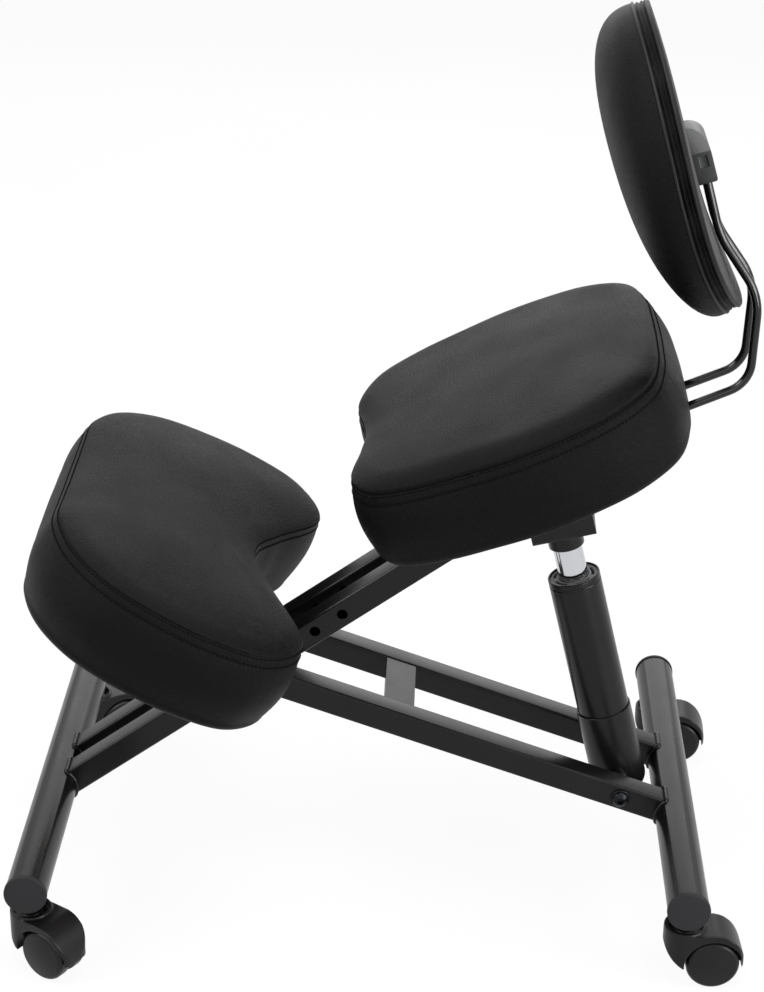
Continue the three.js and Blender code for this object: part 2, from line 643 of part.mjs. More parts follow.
// Crown, rounded shoulder, gently bulging side, rolled lower edge and a recess for the board
function makeCushion(name, pad, outlineShares, grooves) {
  const outline = padOutline(pad, outlineShares);
  const crownShares = [0.38, 0.7];
  const shoulderShares = [0, 0.4, 0.75];
  const sideShares = [0, 0.35, 0.7];
  const rollShares = [0, 0.5, 1];
  const edgeShare = 1 - pad.shoulderInset / pad.halfWidth;
  const edge = pad.shoulder + pad.crown * (1 - edgeShare * edgeShare);
  const ceiling = board.thickness - pad.boardUnder + seatGap;
  const top = pad.shoulder + pad.crown;
  const rings = [
    ...crownShares.map((share) => outline.map((point) => new THREE.Vector3(
      point.x * share, point.y * share, pad.shoulder + pad.crown * (1 - share * share)))),
    ...shoulderShares.map((share) => insetRing(outline,
      pad.shoulderInset * (1 - Math.sin(share * quarter)), edge * Math.cos(share * quarter))),
    ...sideShares.map((share) => insetRing(outline,
      -pad.flare * share - pad.bulge * Math.sin(2 * quarter * share), (pad.roll - pad.depth) * share)),
    ...rollShares.map((share) => insetRing(outline, pad.roll * (1 - Math.cos(share * quarter)) - pad.flare,
      pad.roll * (1 - Math.sin(share * quarter)) - pad.depth)),
    insetRing(outline, pad.boardInset - seatGap, -pad.depth),
    insetRing(outline, pad.boardInset - seatGap, ceiling),
  ];
  const body = loft(new THREE.Vector3(0, 0, top), rings, new THREE.Vector3(0, 0, ceiling));
  return node(name, cut(body, ...grooves), vinyl);
}

function makeBoard(name, pad, outlineShares) {
  const outline = padOutline(pad, outlineShares);
  const low = -pad.boardUnder;
  const high = low + board.thickness;
  const body = loft(new THREE.Vector3(0, 0, high), [
    insetRing(outline, pad.boardInset + board.edge, high),
    insetRing(outline, pad.boardInset, high - board.edge),
    insetRing(outline, pad.boardInset, low + board.edge),
    insetRing(outline, pad.boardInset + board.edge, low),
  ], new THREE.Vector3(0, 0, low));
  return node(name, body, plywood);
}

// A folded mount in its pad's frame. Its flanges end a little below the axis of their rail
function makeMount(name, pad, mount, flangeInner, railPlace, axisHeight, tools = []) {
  const top = -pad.boardUnder - seatGap;
  const place = intoPad(pad, railPlace);
  const start = new THREE.Vector3(0, 0, axisHeight - mount.cover).applyMatrix4(place);
  const along = new THREE.Vector3(0, 1, 0).transformDirection(place);
  const edge = (y) => start.z + (y - start.y) * along.z / along.y;
  const bevel = mount.corner / 2;
  const outline = polygon([
    [mount.flangeFront, top - boreGap], [mount.flangeFront, edge(mount.flangeFront) + bevel],
    [mount.flangeFront + bevel, edge(mount.flangeFront + bevel)],
    [mount.flangeBack - bevel, edge(mount.flangeBack - bevel)],
    [mount.flangeBack, edge(mount.flangeBack) + bevel], [mount.flangeBack, top - boreGap],
  ]);
  const flangeOuter = flangeInner + mountPlate;
  const flanges = [-1, 1].map((side) => extrudeX(outline, flangeInner, flangeOuter).scale(side, 1, 1));
  const sizeShares = [mount.halfWidthShare, mount.frontShare, mount.backShare];
  const [half, front, back] = sizeShares.map((share) => share * pad.halfWidth);
  const plan = roundedRectangle(-half, half, front, back, mount.corner);
  const plate = extrudeZ(plan, top - mountPlate, top);
  return node(name, cut(join(plate, ...flanges), ...tools), powderCoat);
}

function railTools(place, inner, axisHeight, length) {
  const half = rail.side / 2 + padGroove;
  const middle = inner + rail.side / 2;
  return [-middle, middle].map((x) => block(
    x - half, x + half, Math.min(0, length), Math.max(0, length), axisHeight - half, axisHeight + half,
  ).applyMatrix4(place));
}

// Backrest
// A point behind the bowed spine, measured square to it
function spine(x, rise, behind) {
  const y = backrest.centreY - backrest.leanShare * rise + rise * rise / (2 * backrest.bowRadius)
    - rise ** 3 / backrest.flare ** 2;
  const slope = rise / backrest.bowRadius - backrest.leanShare - 3 * rise * rise / backrest.flare ** 2;
  const square = new THREE.Vector3(0, 1, -slope).normalize();
  return new THREE.Vector3(x, y, backrestZ + rise).addScaledVector(square, behind);
}

// A ring round the spine: its share of the outline, how far it lies behind the spine, and how much
// that distance grows toward the top
function backRing(share, behind, swell = 0) {
  const power = 2 / backrest.squareness;
  return Array.from({ length: outlinePoints }, (_, i) => {
    const angle = 4 * quarter * i / outlinePoints;
    const wave = [Math.cos(angle), Math.sin(angle)];
    const [across, up] = wave.map((part) => share * Math.sign(part) * Math.abs(part) ** power);
    return spine(backrest.halfWidth * across, backrest.halfHeight * up, behind + swell * up);
  });
}

function backPole(behind) {
  return spine(0, 0, behind);
}

const shellFront = (share) => backrest.shellDome * (1 - share * share);

function shellRings(gap = 0) {
  return domeShares.map((share) => backRing(share, shellFront(share) + backrest.shellThickness + gap));
}

function makeShell() {
  const inside = domeShares.map((share) => backRing(share, shellFront(share))).reverse();
  const rear = backPole(backrest.shellDome + backrest.shellThickness);
  const body = loft(rear, [...shellRings(), ...inside], backPole(backrest.shellDome));
  return node('backrest_shell', body, blackPlastic);
}

// All that lies in front of the shell's back, for cutting what seats on it
function shellTool() {
  const rear = backPole(backrest.shellDome + backrest.shellThickness + seatGap);
  return loft(rear, [...shellRings(seatGap), backRing(1, -backrest.crown)], backPole(-backrest.crown));
}

function makeBackCushion() {
  const power = 2 / backrest.crownSquareness;
  const drawnShare = 1 - backrest.drawIn / backrest.halfHeight;
  const crownRings = crownAngleShares.map((share) => {
    const height = backrest.crown * Math.cos(share * quarter) ** power;
    const swell = -backrest.topSwellShare * height;
    return backRing(Math.sin(share * quarter) ** power, -backrest.band - height, swell);
  });
  const rings = [
    ...crownRings,
    backRing(1, -backrest.band), backRing(drawnShare, -backrest.band / 2), backRing(1, -seatGap),
    ...[...domeShares].reverse().slice(1).map((share) => backRing(share, shellFront(share) - seatGap)),
  ];
  const body = loft(backPole(-backrest.band - backrest.crown), rings, backPole(backrest.shellDome - seatGap));
  return node('backrest_cushion', body, vinyl);
}

// Rod housing, in a frame on the shell's back: Y out of the shell, Z up along it
const housingPlace = new THREE.Matrix4().makeRotationX(Math.atan(backrest.leanShare)).setPosition(
  backPole(backrest.shellDome + backrest.shellThickness + seatGap));

function housingOutline(inset) {
  const half = housing.halfWidth - inset;
  const low = inset - housing.foot;
  const corner = housing.corner - inset;
  const shape = new THREE.Shape();
  shape.moveTo(-half + corner, low);
  shape.lineTo(half - corner, low);
  shape.absarc(half - corner, low + corner, corner, -quarter, 0);
  shape.lineTo(half, housing.shoulder);
  shape.absellipse(0, housing.shoulder, half, housing.crest - housing.shoulder - inset, 0, 2 * quarter);
  shape.lineTo(-half, low + corner);
  shape.absarc(-half + corner, low + corner, corner, 2 * quarter, 3 * quarter);
  return shape;
}

// Flat back, rounded over to the shell at the top
function housingSide(inset) {
  const shape = new THREE.Shape();
  shape.moveTo(-2 * housing.depth, -housing.foot - overrun);
  shape.lineTo(housing.depth - inset, -housing.foot - overrun);
  const round = housing.crest - housing.roundFrom - inset;
  shape.lineTo(housing.depth - inset, housing.roundFrom);
  shape.absellipse(0, housing.roundFrom, housing.depth - inset, round, 0, quarter);
  shape.lineTo(-2 * housing.depth, housing.crest - inset);
  return extrudeX(shape, -housing.halfWidth - overrun, housing.halfWidth + overrun, 6);
}

function makeHousing() {
  const deep = -housing.depth;
  const outer = new THREE.ExtrudeGeometry(housingOutline(0), {
    depth: 2 * housing.depth, bevelThickness: housing.edge, bevelSize: housing.edge,
    bevelOffset: -housing.edge,
    bevelSegments: 2, curveSegments: 4,
  }).translate(0, 0, -housing.depth + housing.edge).applyMatrix4(alongY);
  const hollow = extrudeY(housingOutline(housing.wall), deep - overrun, housing.depth - housing.wall, 4);
  const cavity = shared(hollow, housingSide(housing.wall));
  const pockets = [-1, 1].map((side) => block(
    housing.halfWidth - housing.pocketDepth, housing.halfWidth + overrun,
    housing.depth / 2 - housing.pocketHeight / 2, housing.depth / 2 + housing.pocketHeight / 2,
    housing.roundFrom - housing.pocketLength, housing.roundFrom,
  ).scale(side, 1, 1));
  const tray = cut(shared(outer, housingSide(0)), cavity, ...pockets).applyMatrix4(housingPlace);
  return node('rod_housing', cut(tray, shellTool(), rodBar(boreGap)), blackPlastic);
}

// Backrest rod, in the chair's frame
function rodPath() {
  const rod = backRod;
  const start = new THREE.Vector3(rod.seatHalf, clampFront - rod.inClamp, -rodUnder);
  start.applyMatrix4(padPlace(seatPad));
  const lowerZ = start.z + (rod.lowerY - start.y) * Math.tan(seatPad.tilt);
  const corners = [
    [start, 0],
    [new THREE.Vector3(rod.lowerHalf, rod.lowerY, lowerZ), rod.lowerBend],
    [new THREE.Vector3(rod.middleHalf, rod.middleY, tubeHeight + rod.middleRise), rod.middleBend],
    [new THREE.Vector3(rod.upperHalf, rod.bendY, tubeHeight + rod.bendRise), rod.upperBend],
    [new THREE.Vector3(rod.topHalf, housing.depth / 2, rod.topUp).applyMatrix4(housingPlace),
      rod.topHalf - boreGap],
  ];
  const mirrored = [...corners].reverse().map(([point, bend]) => (
    [new THREE.Vector3(-point.x, point.y, point.z), bend]));
  const route = [...corners, ...mirrored];
  const path = new THREE.CurvePath();
  let from = start;
  for (let i = 1; i < route.length - 1; i += 1) {
    const [corner, bend] = route[i];
    const before = corner.clone().sub(route[i - 1][0]).normalize();
    const after = route[i + 1][0].clone().sub(corner).normalize();
    const turn = before.angleTo(after);
    const tangent = bend * Math.tan(turn / 2);
    const handle = tangent - 4 / 3 * Math.tan(turn / 4) * bend;
    const into = corner.clone().addScaledVector(before, -tangent);
    const out = corner.clone().addScaledVector(after, tangent);
    path.add(new THREE.LineCurve3(from, into));
    path.add(new THREE.CubicBezierCurve3(into, corner.clone().addScaledVector(before, -handle),
      corner.clone().addScaledVector(after, handle), out));
    from = out;
  }
  path.add(new THREE.LineCurve3(from, route[route.length - 1][0]));
  return path;
}

function rodBar(grow = 0) {
  const section = new THREE.Shape().absarc(0, 0, backRod.radius + grow, 0, 4 * quarter);
  return new THREE.ExtrudeGeometry(section, { extrudePath: rodPath(), steps: 64, curveSegments: 4 });
}

// Pressed saddle that holds both rod ends up against the seat mount
function makeRodClamp() {
  const top = -seatPad.boardUnder - mountPlate - 2 * seatGap;
  const under = -rodUnder - backRod.radius - seatGap;
  const inner = backRod.seatHalf + backRod.radius + seatGap;
  const outer = inner + rodClamp.thickness;
  const far = outer + rodClamp.foot;
  const profile = polygon([
    [-far, top], [-inner, top], [-inner, under], [inner, under], [inner, top], [far, top],
    [far, top - rodClamp.thickness], [outer, top - rodClamp.thickness], [outer, under - rodClamp.thickness],
    [-outer, under - rodClamp.thickness], [-outer, top - rodClamp.thickness],
    [-far, top - rodClamp.thickness],
  ]);
  return node('rod_clamp', extrudeY(profile, clampFront, clampBack), powderCoat);
}

// Casters, drawn with the stem's axis at zero and the wheels trailing toward +Y
function makeHood(name) {
  const half = hood.halfWidth;
  const tail = caster.trail + hood.reach;
  const corner = hood.tailCorner;
  const plan = new THREE.Shape();
  plan.absarc(0, 0, half, 2 * quarter, 4 * quarter);
  plan.lineTo(half, tail - corner);
  plan.quadraticCurveTo(half, tail, half - corner, tail);
  plan.lineTo(-half + corner, tail);
  plan.quadraticCurveTo(-half, tail, -half, tail - corner);
  const side = new THREE.Shape();
  side.moveTo(-half, hood.noseHeight);
  side.lineTo(-half, hood.top);
  side.lineTo(caster.trail, wheelHeight + hood.height);
  side.absellipse(caster.trail, wheelHeight, hood.reach, hood.height, quarter, 0, true);
  side.lineTo(tail, hood.tailTip);
  side.lineTo(caster.trail + hood.bay, hood.tailTip);
  side.lineTo(caster.trail + 2 * axle.radius, hood.webFloor);
  side.lineTo(caster.trail - 2 * axle.radius, hood.webFloor);
  side.lineTo(-hood.lipReach, hood.lipHeight);
  side.quadraticCurveTo(hood.lipReach - half,
    hood.lipHeight + (hood.noseHeight - hood.lipHeight) * hood.noseBendShare, -half, hood.noseHeight);
  const floor = hood.collarTop - hoodRecess.depth;
  const body = join(
    shared(extrudeZ(plan, 0, hood.collarTop + overrun), extrudeX(side, -half - overrun, half + overrun, 3)),
    barZ(half - boreGap, hood.noseHeight, hood.collarTop, 0, 0, 16),
    barZ(hoodRecess.inner, floor - overrun, hood.collarTop + hoodRecess.bossRise, 0, 0, 12),
  );
  const high = hood.collarTop + hoodRecess.bossRise + overrun;
  const recess = revolveZ([
    [hoodRecess.inner, floor], [hoodRecess.outer, floor], [hoodRecess.outer, high], [hoodRecess.inner, high],
    [hoodRecess.inner, floor],
  ], 16);
  return node(name, cut(body,
    barX(hood.bay, hood.web, half + overrun, caster.trail, wheelHeight),
    barX(hood.bay, -half - overrun, -hood.web, caster.trail, wheelHeight),
    barX(axle.radius + boreGap, -half, half, caster.trail, wheelHeight, 12),
    recess, barZ(stem.radius + boreGap, stemBottom - boreGap, high, 0, 0, 12),
  ), blackPlastic);
}

function makeStem(name) {
  const flangeTop = tubeBottom - seatGap;
  const flangeBottom = flangeTop - stem.flange;
  return node(name, revolveZ([
    [0, stemBottom], [stem.radius, stemBottom], [stem.radius, flangeBottom],
    [stem.flangeRadius, flangeBottom],
    [stem.flangeRadius, flangeTop], [stem.shank, flangeTop], [stem.shank, tubeBottom + stem.rise],
    [0, tubeBottom + stem.rise],
  ], 12), zincSteel);
}

function makeAxle(name) {
  return node(name, barX(axle.radius, -axle.half, axle.half, caster.trail, wheelHeight, 12), zincSteel);
}

function makeWheel(name, side) {
  const bore = axle.radius + boreGap;
  const face = wheel.outer - wheel.dome;
  const body = revolveX([
    [0, wheel.outer], [wheel.radius - wheel.edge, face], [wheel.radius, face - wheel.edge],
    [wheel.radius, wheel.inner + wheel.innerEdge], [wheel.radius - wheel.innerEdge, wheel.inner],
    [bore, wheel.inner], [bore, axle.half + seatGap], [0, axle.half + seatGap],
  ], wheel.sides, Math.PI / wheel.sides);
  return node(name, body.scale(side, 1, 1).translate(0, caster.trail, wheelHeight), rubber);
}

function makeCaster(corner, side, y, swivel) {
  const swivelling = new THREE.Group();
  swivelling.add(
    makeHood(`${corner}_caster_hood`), makeAxle(`${corner}_caster_axle`),
    makeWheel(`${corner}_caster_wheel_left`, 1), makeWheel(`${corner}_caster_wheel_right`, -1),
  );
  swivelling.rotation.z = -side * swivel;
  const group = new THREE.Group();
  group.add(makeStem(`${corner}_caster_stem`), swivelling);
  group.position.set(side * stemX, y, 0);
  return group;
}

// The seat rails' place when they turn about the bolt where the rails cross
function aboutPivot(turn) {
  return new THREE.Matrix4().makeTranslation(pivot)
    .multiply(new THREE.Matrix4().makeRotationX(turn))
    .multiply(new THREE.Matrix4().makeTranslation(pivot.clone().negate()))
    .multiply(seatRailPlace);
}

function sides(make, name) {
  return [make(`left_${name}`, 1), make(`right_${name}`, -1)];
}

// Assembly
const chair = new THREE.Group();
const boltReach = kneeRailOuter + capNut.height + padGroove;
const liftBoltInPad = liftBolt.clone().applyMatrix4(intoPad(seatPad));
const liftBoltHole = barX(
  bolt.radius + boreGap, -bracketOuter, bracketOuter, liftBoltInPad.y, liftBoltInPad.z, boltSides);
const pivotTool = barX(bolt.flangeRadius + padGroove, -boltReach, boltReach, pivot.y, pivot.z, boltSides)
  .applyMatrix4(intoPad(kneePad));
chair.add(
  assembly([makeCrossTube('rear_cross_tube'), ...sides(makeEndCap, 'rear_end_cap')], wheelbase, tubeHeight),
  assembly([...sides(makeKneeRail, 'knee_rail'), makeCrossPlate()], wheelbase, tubeHeight, -kneeRail.rise),
  assembly([
    makeBolt('pivot_bolt', kneeRailOuter), makeCapNut('pivot_nut', kneeRailOuter),
    ...sides(makePivotWasher, 'pivot_washer'),
  ], pivot.y, pivot.z),
  assembly([makeBolt('column_bolt', kneeRailOuter), makeCapNut('column_nut', kneeRailOuter)],
    columnBolt.y, columnBolt.z),
  assembly([
    makeMount('knee_mount', kneePad, kneeMount, kneeFlangeInner, kneeRailPlace, 0),
    makeBoard('knee_board', kneePad, kneeOutlineShares),
    makeCushion('knee_cushion', kneePad, kneeOutlineShares, [
      ...railTools(intoPad(kneePad, kneeRailPlace), kneeRailInner, 0, -kneeRail.length), pivotTool,
      ...railTravel.flatMap((turn) => railTools(
        intoPad(kneePad, aboutPivot(turn)), seatRail.inner, -seatRail.drop, liftBoltOnSeatRail)),
    ]),
  ], kneePad.centreY, tubeHeight + kneePad.rise, kneePad.tilt),
  assembly([makeCrossTube('front_cross_tube'), ...sides(makeEndCap, 'front_end_cap')], 0, tubeHeight),
  assembly(sides(makeSeatRail, 'seat_rail'), 0, tubeHeight, seatRail.rise),
  assembly([
    makeBolt('lift_bolt', bracketOuter), makeCapNut('lift_nut', bracketOuter),
  ], liftBolt.y, liftBolt.z),
  assembly([
    makeMount('seat_mount', seatPad, seatMount, seatFlangeInner, seatRailPlace, -seatRail.drop,
      [liftBoltHole]),
    makeBoard('seat_board', seatPad, seatOutlineShares),
    makeCushion('seat_cushion', seatPad, seatOutlineShares,
      [rodBar(padGroove).applyMatrix4(intoPad(seatPad))]),
    makeRodClamp(),
  ], seatPad.centreY, tubeHeight + seatPad.rise, seatPad.tilt),
  assembly([node('backrest_rod', rodBar(), powderCoat), makeHousing(),
    makeShell(), makeBackCushion()]),
  assembly([makeCup(), makeColumn(), makeBushing(), makePistonRod()], columnBolt.y, columnBolt.z, liftLean),
  assembly([makeGasCylinder(), makeSocket(), makeBracket(), makeLeverPin(), makeButton(), makeLever()],
    columnBolt.y, columnBolt.z, liftLean),
);
for (const [end, y, swivel] of [['front', 0, caster.frontSwivel], ['rear', wheelbase, caster.rearSwivel]]) {
  for (const [name, side] of [['left', 1], ['right', -1]]) {
    chair.add(makeCaster(`${end}_${name}`, side, y, swivel));
  }
}

// The origin moves to the centre of the footprint
const group = new THREE.Group();
group.add(chair);
group.updateMatrixWorld(true);
const footprint = new THREE.Box3().setFromObject(chair, true);
const centre = footprint.getCenter(new THREE.Vector3());
chair.position.set(-centre.x, -centre.y, -footprint.min.z);

export default group;
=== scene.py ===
"""Looks for a kneeling chair on twin-wheel casters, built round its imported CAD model.

Each piece is modelled in millimetres in the frame of what carries it, such as a rail, a pad or
the gas lift, and is then placed with its scale in metres. +Z is up and the chair faces -Y.
"""
import json
import math

import bpy
import numpy as np
from bpy.props import FloatProperty, FloatVectorProperty, PointerProperty
from bpy.types import Operator, Panel, PropertyGroup
from mathutils import Matrix, Vector


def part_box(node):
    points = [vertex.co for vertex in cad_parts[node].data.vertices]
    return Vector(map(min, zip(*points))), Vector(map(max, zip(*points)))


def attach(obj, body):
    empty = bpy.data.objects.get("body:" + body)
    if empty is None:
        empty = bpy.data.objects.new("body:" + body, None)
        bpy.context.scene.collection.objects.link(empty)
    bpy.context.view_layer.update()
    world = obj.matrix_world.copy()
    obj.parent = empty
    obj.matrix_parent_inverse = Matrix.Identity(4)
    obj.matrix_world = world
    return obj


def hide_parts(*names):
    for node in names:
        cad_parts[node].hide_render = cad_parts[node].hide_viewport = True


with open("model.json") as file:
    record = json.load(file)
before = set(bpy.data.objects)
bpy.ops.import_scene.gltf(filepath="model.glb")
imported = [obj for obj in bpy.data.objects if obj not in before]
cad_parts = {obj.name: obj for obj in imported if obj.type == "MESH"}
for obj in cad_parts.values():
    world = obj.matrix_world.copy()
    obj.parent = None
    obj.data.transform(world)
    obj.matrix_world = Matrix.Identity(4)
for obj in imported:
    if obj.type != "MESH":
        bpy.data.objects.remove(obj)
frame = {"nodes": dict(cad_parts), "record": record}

bl_info = {
    "name": "Kneeling chair",
    "version": (1, 0, 0),
    "blender": (4, 5, 0),
    "location": "View3D > Sidebar > Chair",
    "description": "Builds the visible pieces and finishes of a kneeling chair",
    "category": "Object",
}

MM = 0.001
TURN = 2 * math.pi
# In millimetres: the room where pieces rest on each other, the room round a piece in its bore,
# and how far a cutting tool reaches past what it cuts
GAP = 0.3
SNUG = 0.2
OVER = 5
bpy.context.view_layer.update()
JOINTS = {joint["name"]: joint for joint in frame["record"]["behaviour"]["joints"]}
CORNERS = ("front_left", "front_right", "rear_left", "rear_right")
SIDES = (("left", 1), ("right", -1))


# Places of the groups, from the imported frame

def middle_of(node):
    low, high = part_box(node)
    return (Vector(low) + Vector(high)) / 2


def placed(origin, tilt):
    """A frame at origin, in metres, tilted about X by an angle in degrees."""
    return Matrix.Translation(origin) @ Matrix.Rotation(math.radians(tilt), 4, "X")


FRONT_TUBE = middle_of("front_cross_tube")
REAR_TUBE = middle_of("rear_cross_tube")
PIVOT = Vector(JOINTS["seat_height"]["pos_m"])
COLUMN_BOLT = Vector(JOINTS["column_swing"]["pos_m"])
LIFT_AXIS = Vector(JOINTS["cylinder_slide"]["axis"])
LIFT_BOLT = middle_of("lift_bolt")
LIFT_LENGTH = (LIFT_BOLT - COLUMN_BOLT).yz.length / MM
LIFT = placed(COLUMN_BOLT, math.degrees(math.atan2(-LIFT_AXIS.y, LIFT_AXIS.z)))
SEAT_RAIL_TILT = 36
SEAT_TILT = 23.7
SEAT_RAILS = placed(FRONT_TUBE, SEAT_RAIL_TILT)
KNEE_RAILS = placed(REAR_TUBE, -19.3)
SEAT_PAD = placed(FRONT_TUBE + Vector((0, 428, 417.5)) * MM, SEAT_TILT)
KNEE_PAD = placed(FRONT_TUBE + Vector((0, 125.9, 277.1)) * MM, -26.7)

# Sizes in millimetres
TUBE = {"radius": 19, "wall": 1.5, "half": 221.5, "stem_hole": 201.5}
CAP = {"rim": 19.8, "head": 5, "edge": 1.6, "plug": 13, "dome": 0.5, "fall": 0.15}
RAIL = {"side": 25, "wall": 1.5, "corner": 2.4}
SEAT_RAIL = {"inner": 12, "drop": 5, "hole_pitch": 32, "holes": 4, "past_bolt": 34}
KNEE_RAIL = {"inner": 39, "length": 574, "column_bolt": 57}
BOLT_HOLE = 5.2
BOLT = {
    "radius": 5, "flange_radius": 9.5, "flange": 1.5, "head_radius": 7.8, "head": 6.4, "socket": 2.9, "deep": 3,
    "rail_grip": 64, "lift_grip": 43.9,
}
NUT = {"radius": 8.5, "height": 9, "dome": 5, "wall": 1.6, "dome_share": 0.8, "chamfer": 0.7, "chamfer_height": 0.6}
WELD = {"radius": 2.3, "off_rail": 0.6, "off_tube": 0.4, "step": 1.5, "ripple": 0.25, "pace": 2.1}
CUP = {
    "radius": 26.5, "top": 67.5, "bottom": -26.5, "round": 16, "seat": 12, "boss": 9.5, "boss_half": 38.7,
    "boss_edge": 0.8,
}
COLUMN = {
    "radius": 25, "wall": 1.6, "top": 213.5, "bottom": 12.3, "groove": 5, "groove_depth": 0.6, "edge": 0.8,
    "floor": 4,
}
BUSHING = {
    "length": 34, "below": 1.4, "slots": 5, "slot_inner": 17, "slot_outer": 20, "slot_depth": 5, "slot_share": 0.7,
    "edge": 0.4, "lead": 0.6,
}
CYLINDER = {
    "radius": 14, "bottom": 70, "floor": 74, "taper": 13, "head_below": 32, "head": 12, "cup": 10, "guide": 5.2,
    "bore": 3.7, "wall": 4,
}
BUTTON = {"radius": 3.5, "below": 5.7, "above": 6, "edge": 0.5, "to_lever": 6.3}
SOCKET = {"radius": 17, "below": 24.5, "lip": 1.5, "under_head": 2, "edge": 0.5}
BRACKET = {
    "length": 60, "offset": 1.5, "thickness": 3, "below": 56, "head": 13, "bend": 4, "inner": 40.9,
    "bolt_hole": 6.2, "slot_below": 4, "slot_above": 2,
}
LEVER = {"width": 16, "thickness": 3, "inner": 6, "outer": 152, "paddle_width": 26, "paddle": 46, "droop": 9}
LEVER_PIN = {"radius": 2, "hole": 2.2, "knuckle": 4, "out": 8, "play": 1.2, "ear": 6, "thickness": 2.4, "head": 1}
SEAT = {
    "notch": -1, "half_width": 174, "depth": 75.4, "board_under": 64.7, "shoulder": 11.7, "crown": 8,
    "shoulder_inset": 25, "flare": 6.8, "bulge": 5.8, "roll": 12.4, "board_inset": 27,
}
KNEE = {
    "notch": 1, "half_width": 200, "depth": 88.4, "board_under": 78, "shoulder": 4.5, "crown": 13.4,
    "shoulder_inset": 19, "flare": 0, "bulge": 8.7, "roll": 11.3, "board_inset": 28,
}
# Distances of each pad's outline from its middle, every 15 degrees from the notch, in half widths
SEAT_SHARES = (0.81, 0.862, 1.005, 1.078, 1.035, 0.994, 1, 1.019, 1.053, 1.037, 0.929, 0.846, 0.82)
SEAT_BOARD_SHARES = (0.705, 0.811, *SEAT_SHARES[2:])
KNEE_SHARES = (0.384, 0.413, 0.561, 0.967, 1.073, 1.045, 1, 0.964, 0.889, 0.771, 0.637, 0.569, 0.55)
ROD = {
    "radius": 4, "start": 48, "seat_half": 26, "lower_half": 24, "middle_half": 22, "upper_half": 18,
    "top_half": 15, "top_up": 6, "lower_y": 645, "middle_y": 648, "middle_rise": 516, "bend_y": 610,
    "bend_rise": 570, "lower_bend": 30, "middle_bend": 60, "upper_bend": 90, "under": 72.3,
}
BACK = {
    "half_width": 160, "half_height": 130, "y": 574.1, "rise": 640.1, "lean": 0.303, "bow_radius": 809,
    "flare": 498, "squareness": 1.95, "band": 12.3, "crown": 47.7, "crown_squareness": 2.6, "swell": 0.166,
    "shell": 2.5, "dome": 4.5,
}
HOUSING = {
    "half_width": 32, "foot": 25, "slope_foot": 5, "flat": 13, "crest": 23.5, "depth": 16.5, "round_from": 2,
    "corner": 6, "pocket_length": 11, "pocket_height": 8, "pocket_depth": 1.6,
}
WHEEL = {"radius": 25, "inner": 3.9, "outer": 19.2, "edge": 5, "dome": 1.8}
HOOD = {
    "half_width": 19.5, "top": 57.5, "collar_top": 60, "reach": 29.3, "height": 33.5, "tail_corner": 14,
    "tail_tip": 21.5, "bay": 26.8, "web": 3.4, "web_floor": 14, "lip_reach": 2.6, "lip_height": 22.5,
    "nose_height": 44, "nose_bend": 0.4, "recess_inner": 8.5, "recess_outer": 16.5, "recess": 5, "boss": 2,
}
STEM = {"radius": 5.5, "flange_radius": 12, "flange": 3, "bottom": 46}
TRAIL = 25.5
TUBE_HEIGHT = FRONT_TUBE.z / MM
WHEEL_HEIGHT = JOINTS["front_left_wheel_left_roll"]["pos_m"][2] / MM

# Finishes of the CAD pieces that stay in view
DRESSED = {
    "rail_cross_plate": "frame", "seat_mount": "frame", "knee_mount": "frame", "rod_clamp": "frame",
    "left_pivot_washer": "nylon", "right_pivot_washer": "nylon", "seat_board": "plywood", "knee_board": "plywood",
    "piston_rod": "steel", **{f"{corner}_caster_axle": "steel" for corner in CORNERS},
}


# Modelling

def only(obj):
    """Selects one object and nothing else."""
    if bpy.context.mode != "OBJECT":
        bpy.ops.object.mode_set(mode="OBJECT")
    bpy.ops.object.select_all(action="DESELECT")
    obj.select_set(True)
    bpy.context.view_layer.objects.active = obj


def start(add, name, **settings):
    """A new primitive, alone, with its size and place in its mesh."""
    if bpy.context.mode != "OBJECT":
        bpy.ops.object.mode_set(mode="OBJECT")
    bpy.ops.object.select_all(action="DESELECT")
    add(**settings)
    obj = bpy.context.object
    obj.name = obj.data.name = name
    bpy.ops.object.transform_apply(location=True, rotation=True, scale=True)
    return obj


def edit(obj):
    only(obj)
    bpy.ops.object.mode_set(mode="EDIT")


def faced(obj):
    """Turns all faces of a closed piece outwards."""
    edit(obj)
    bpy.ops.mesh.select_all(action="SELECT")
    bpy.ops.mesh.normals_make_consistent(inside=False)
    bpy.ops.object.mode_set(mode="OBJECT")
    return obj


def added(name, data):
    """A new object in the scene for a mesh, curve, light or camera."""
    obj = bpy.data.objects.new(name, data)
    bpy.context.scene.collection.objects.link(obj)
    return obj


def meshed(name, points, faces):
    mesh = bpy.data.meshes.new(name)
    mesh.from_pydata(points, [], faces)
    return added(name, mesh)


def removed(obj):
    only(obj)
    bpy.ops.object.delete()


def modified(obj, kind, **settings):
    """Adds a modifier with its settings and applies it."""
    only(obj)
    bpy.ops.object.modifier_add(type=kind)
    modifier = obj.modifiers[-1]
    for name, value in settings.items():
        setattr(modifier, name, value)
    bpy.ops.object.modifier_apply(modifier=modifier.name)
    return obj


def rounded(obj, width, segments=3, angle=30):
    """Rounds the edges that are sharper than an angle."""
    return modified(obj, "BEVEL", width=width, segments=segments, limit_method="ANGLE",
                    angle_limit=math.radians(angle), harden_normals=False, miter_outer="MITER_ARC")


def combined(obj, other, operation):
    """Joins, cuts or intersects with another object, which goes."""
    modified(obj, "BOOLEAN", object=other, operation=operation, solver="EXACT")
    removed(other)
    return obj


def box(name, low, high):
    """A block between two corners."""
    low, high = Vector(low), Vector(high)
    return start(bpy.ops.mesh.primitive_cube_add, name, size=1, location=(low + high) / 2, scale=high - low)


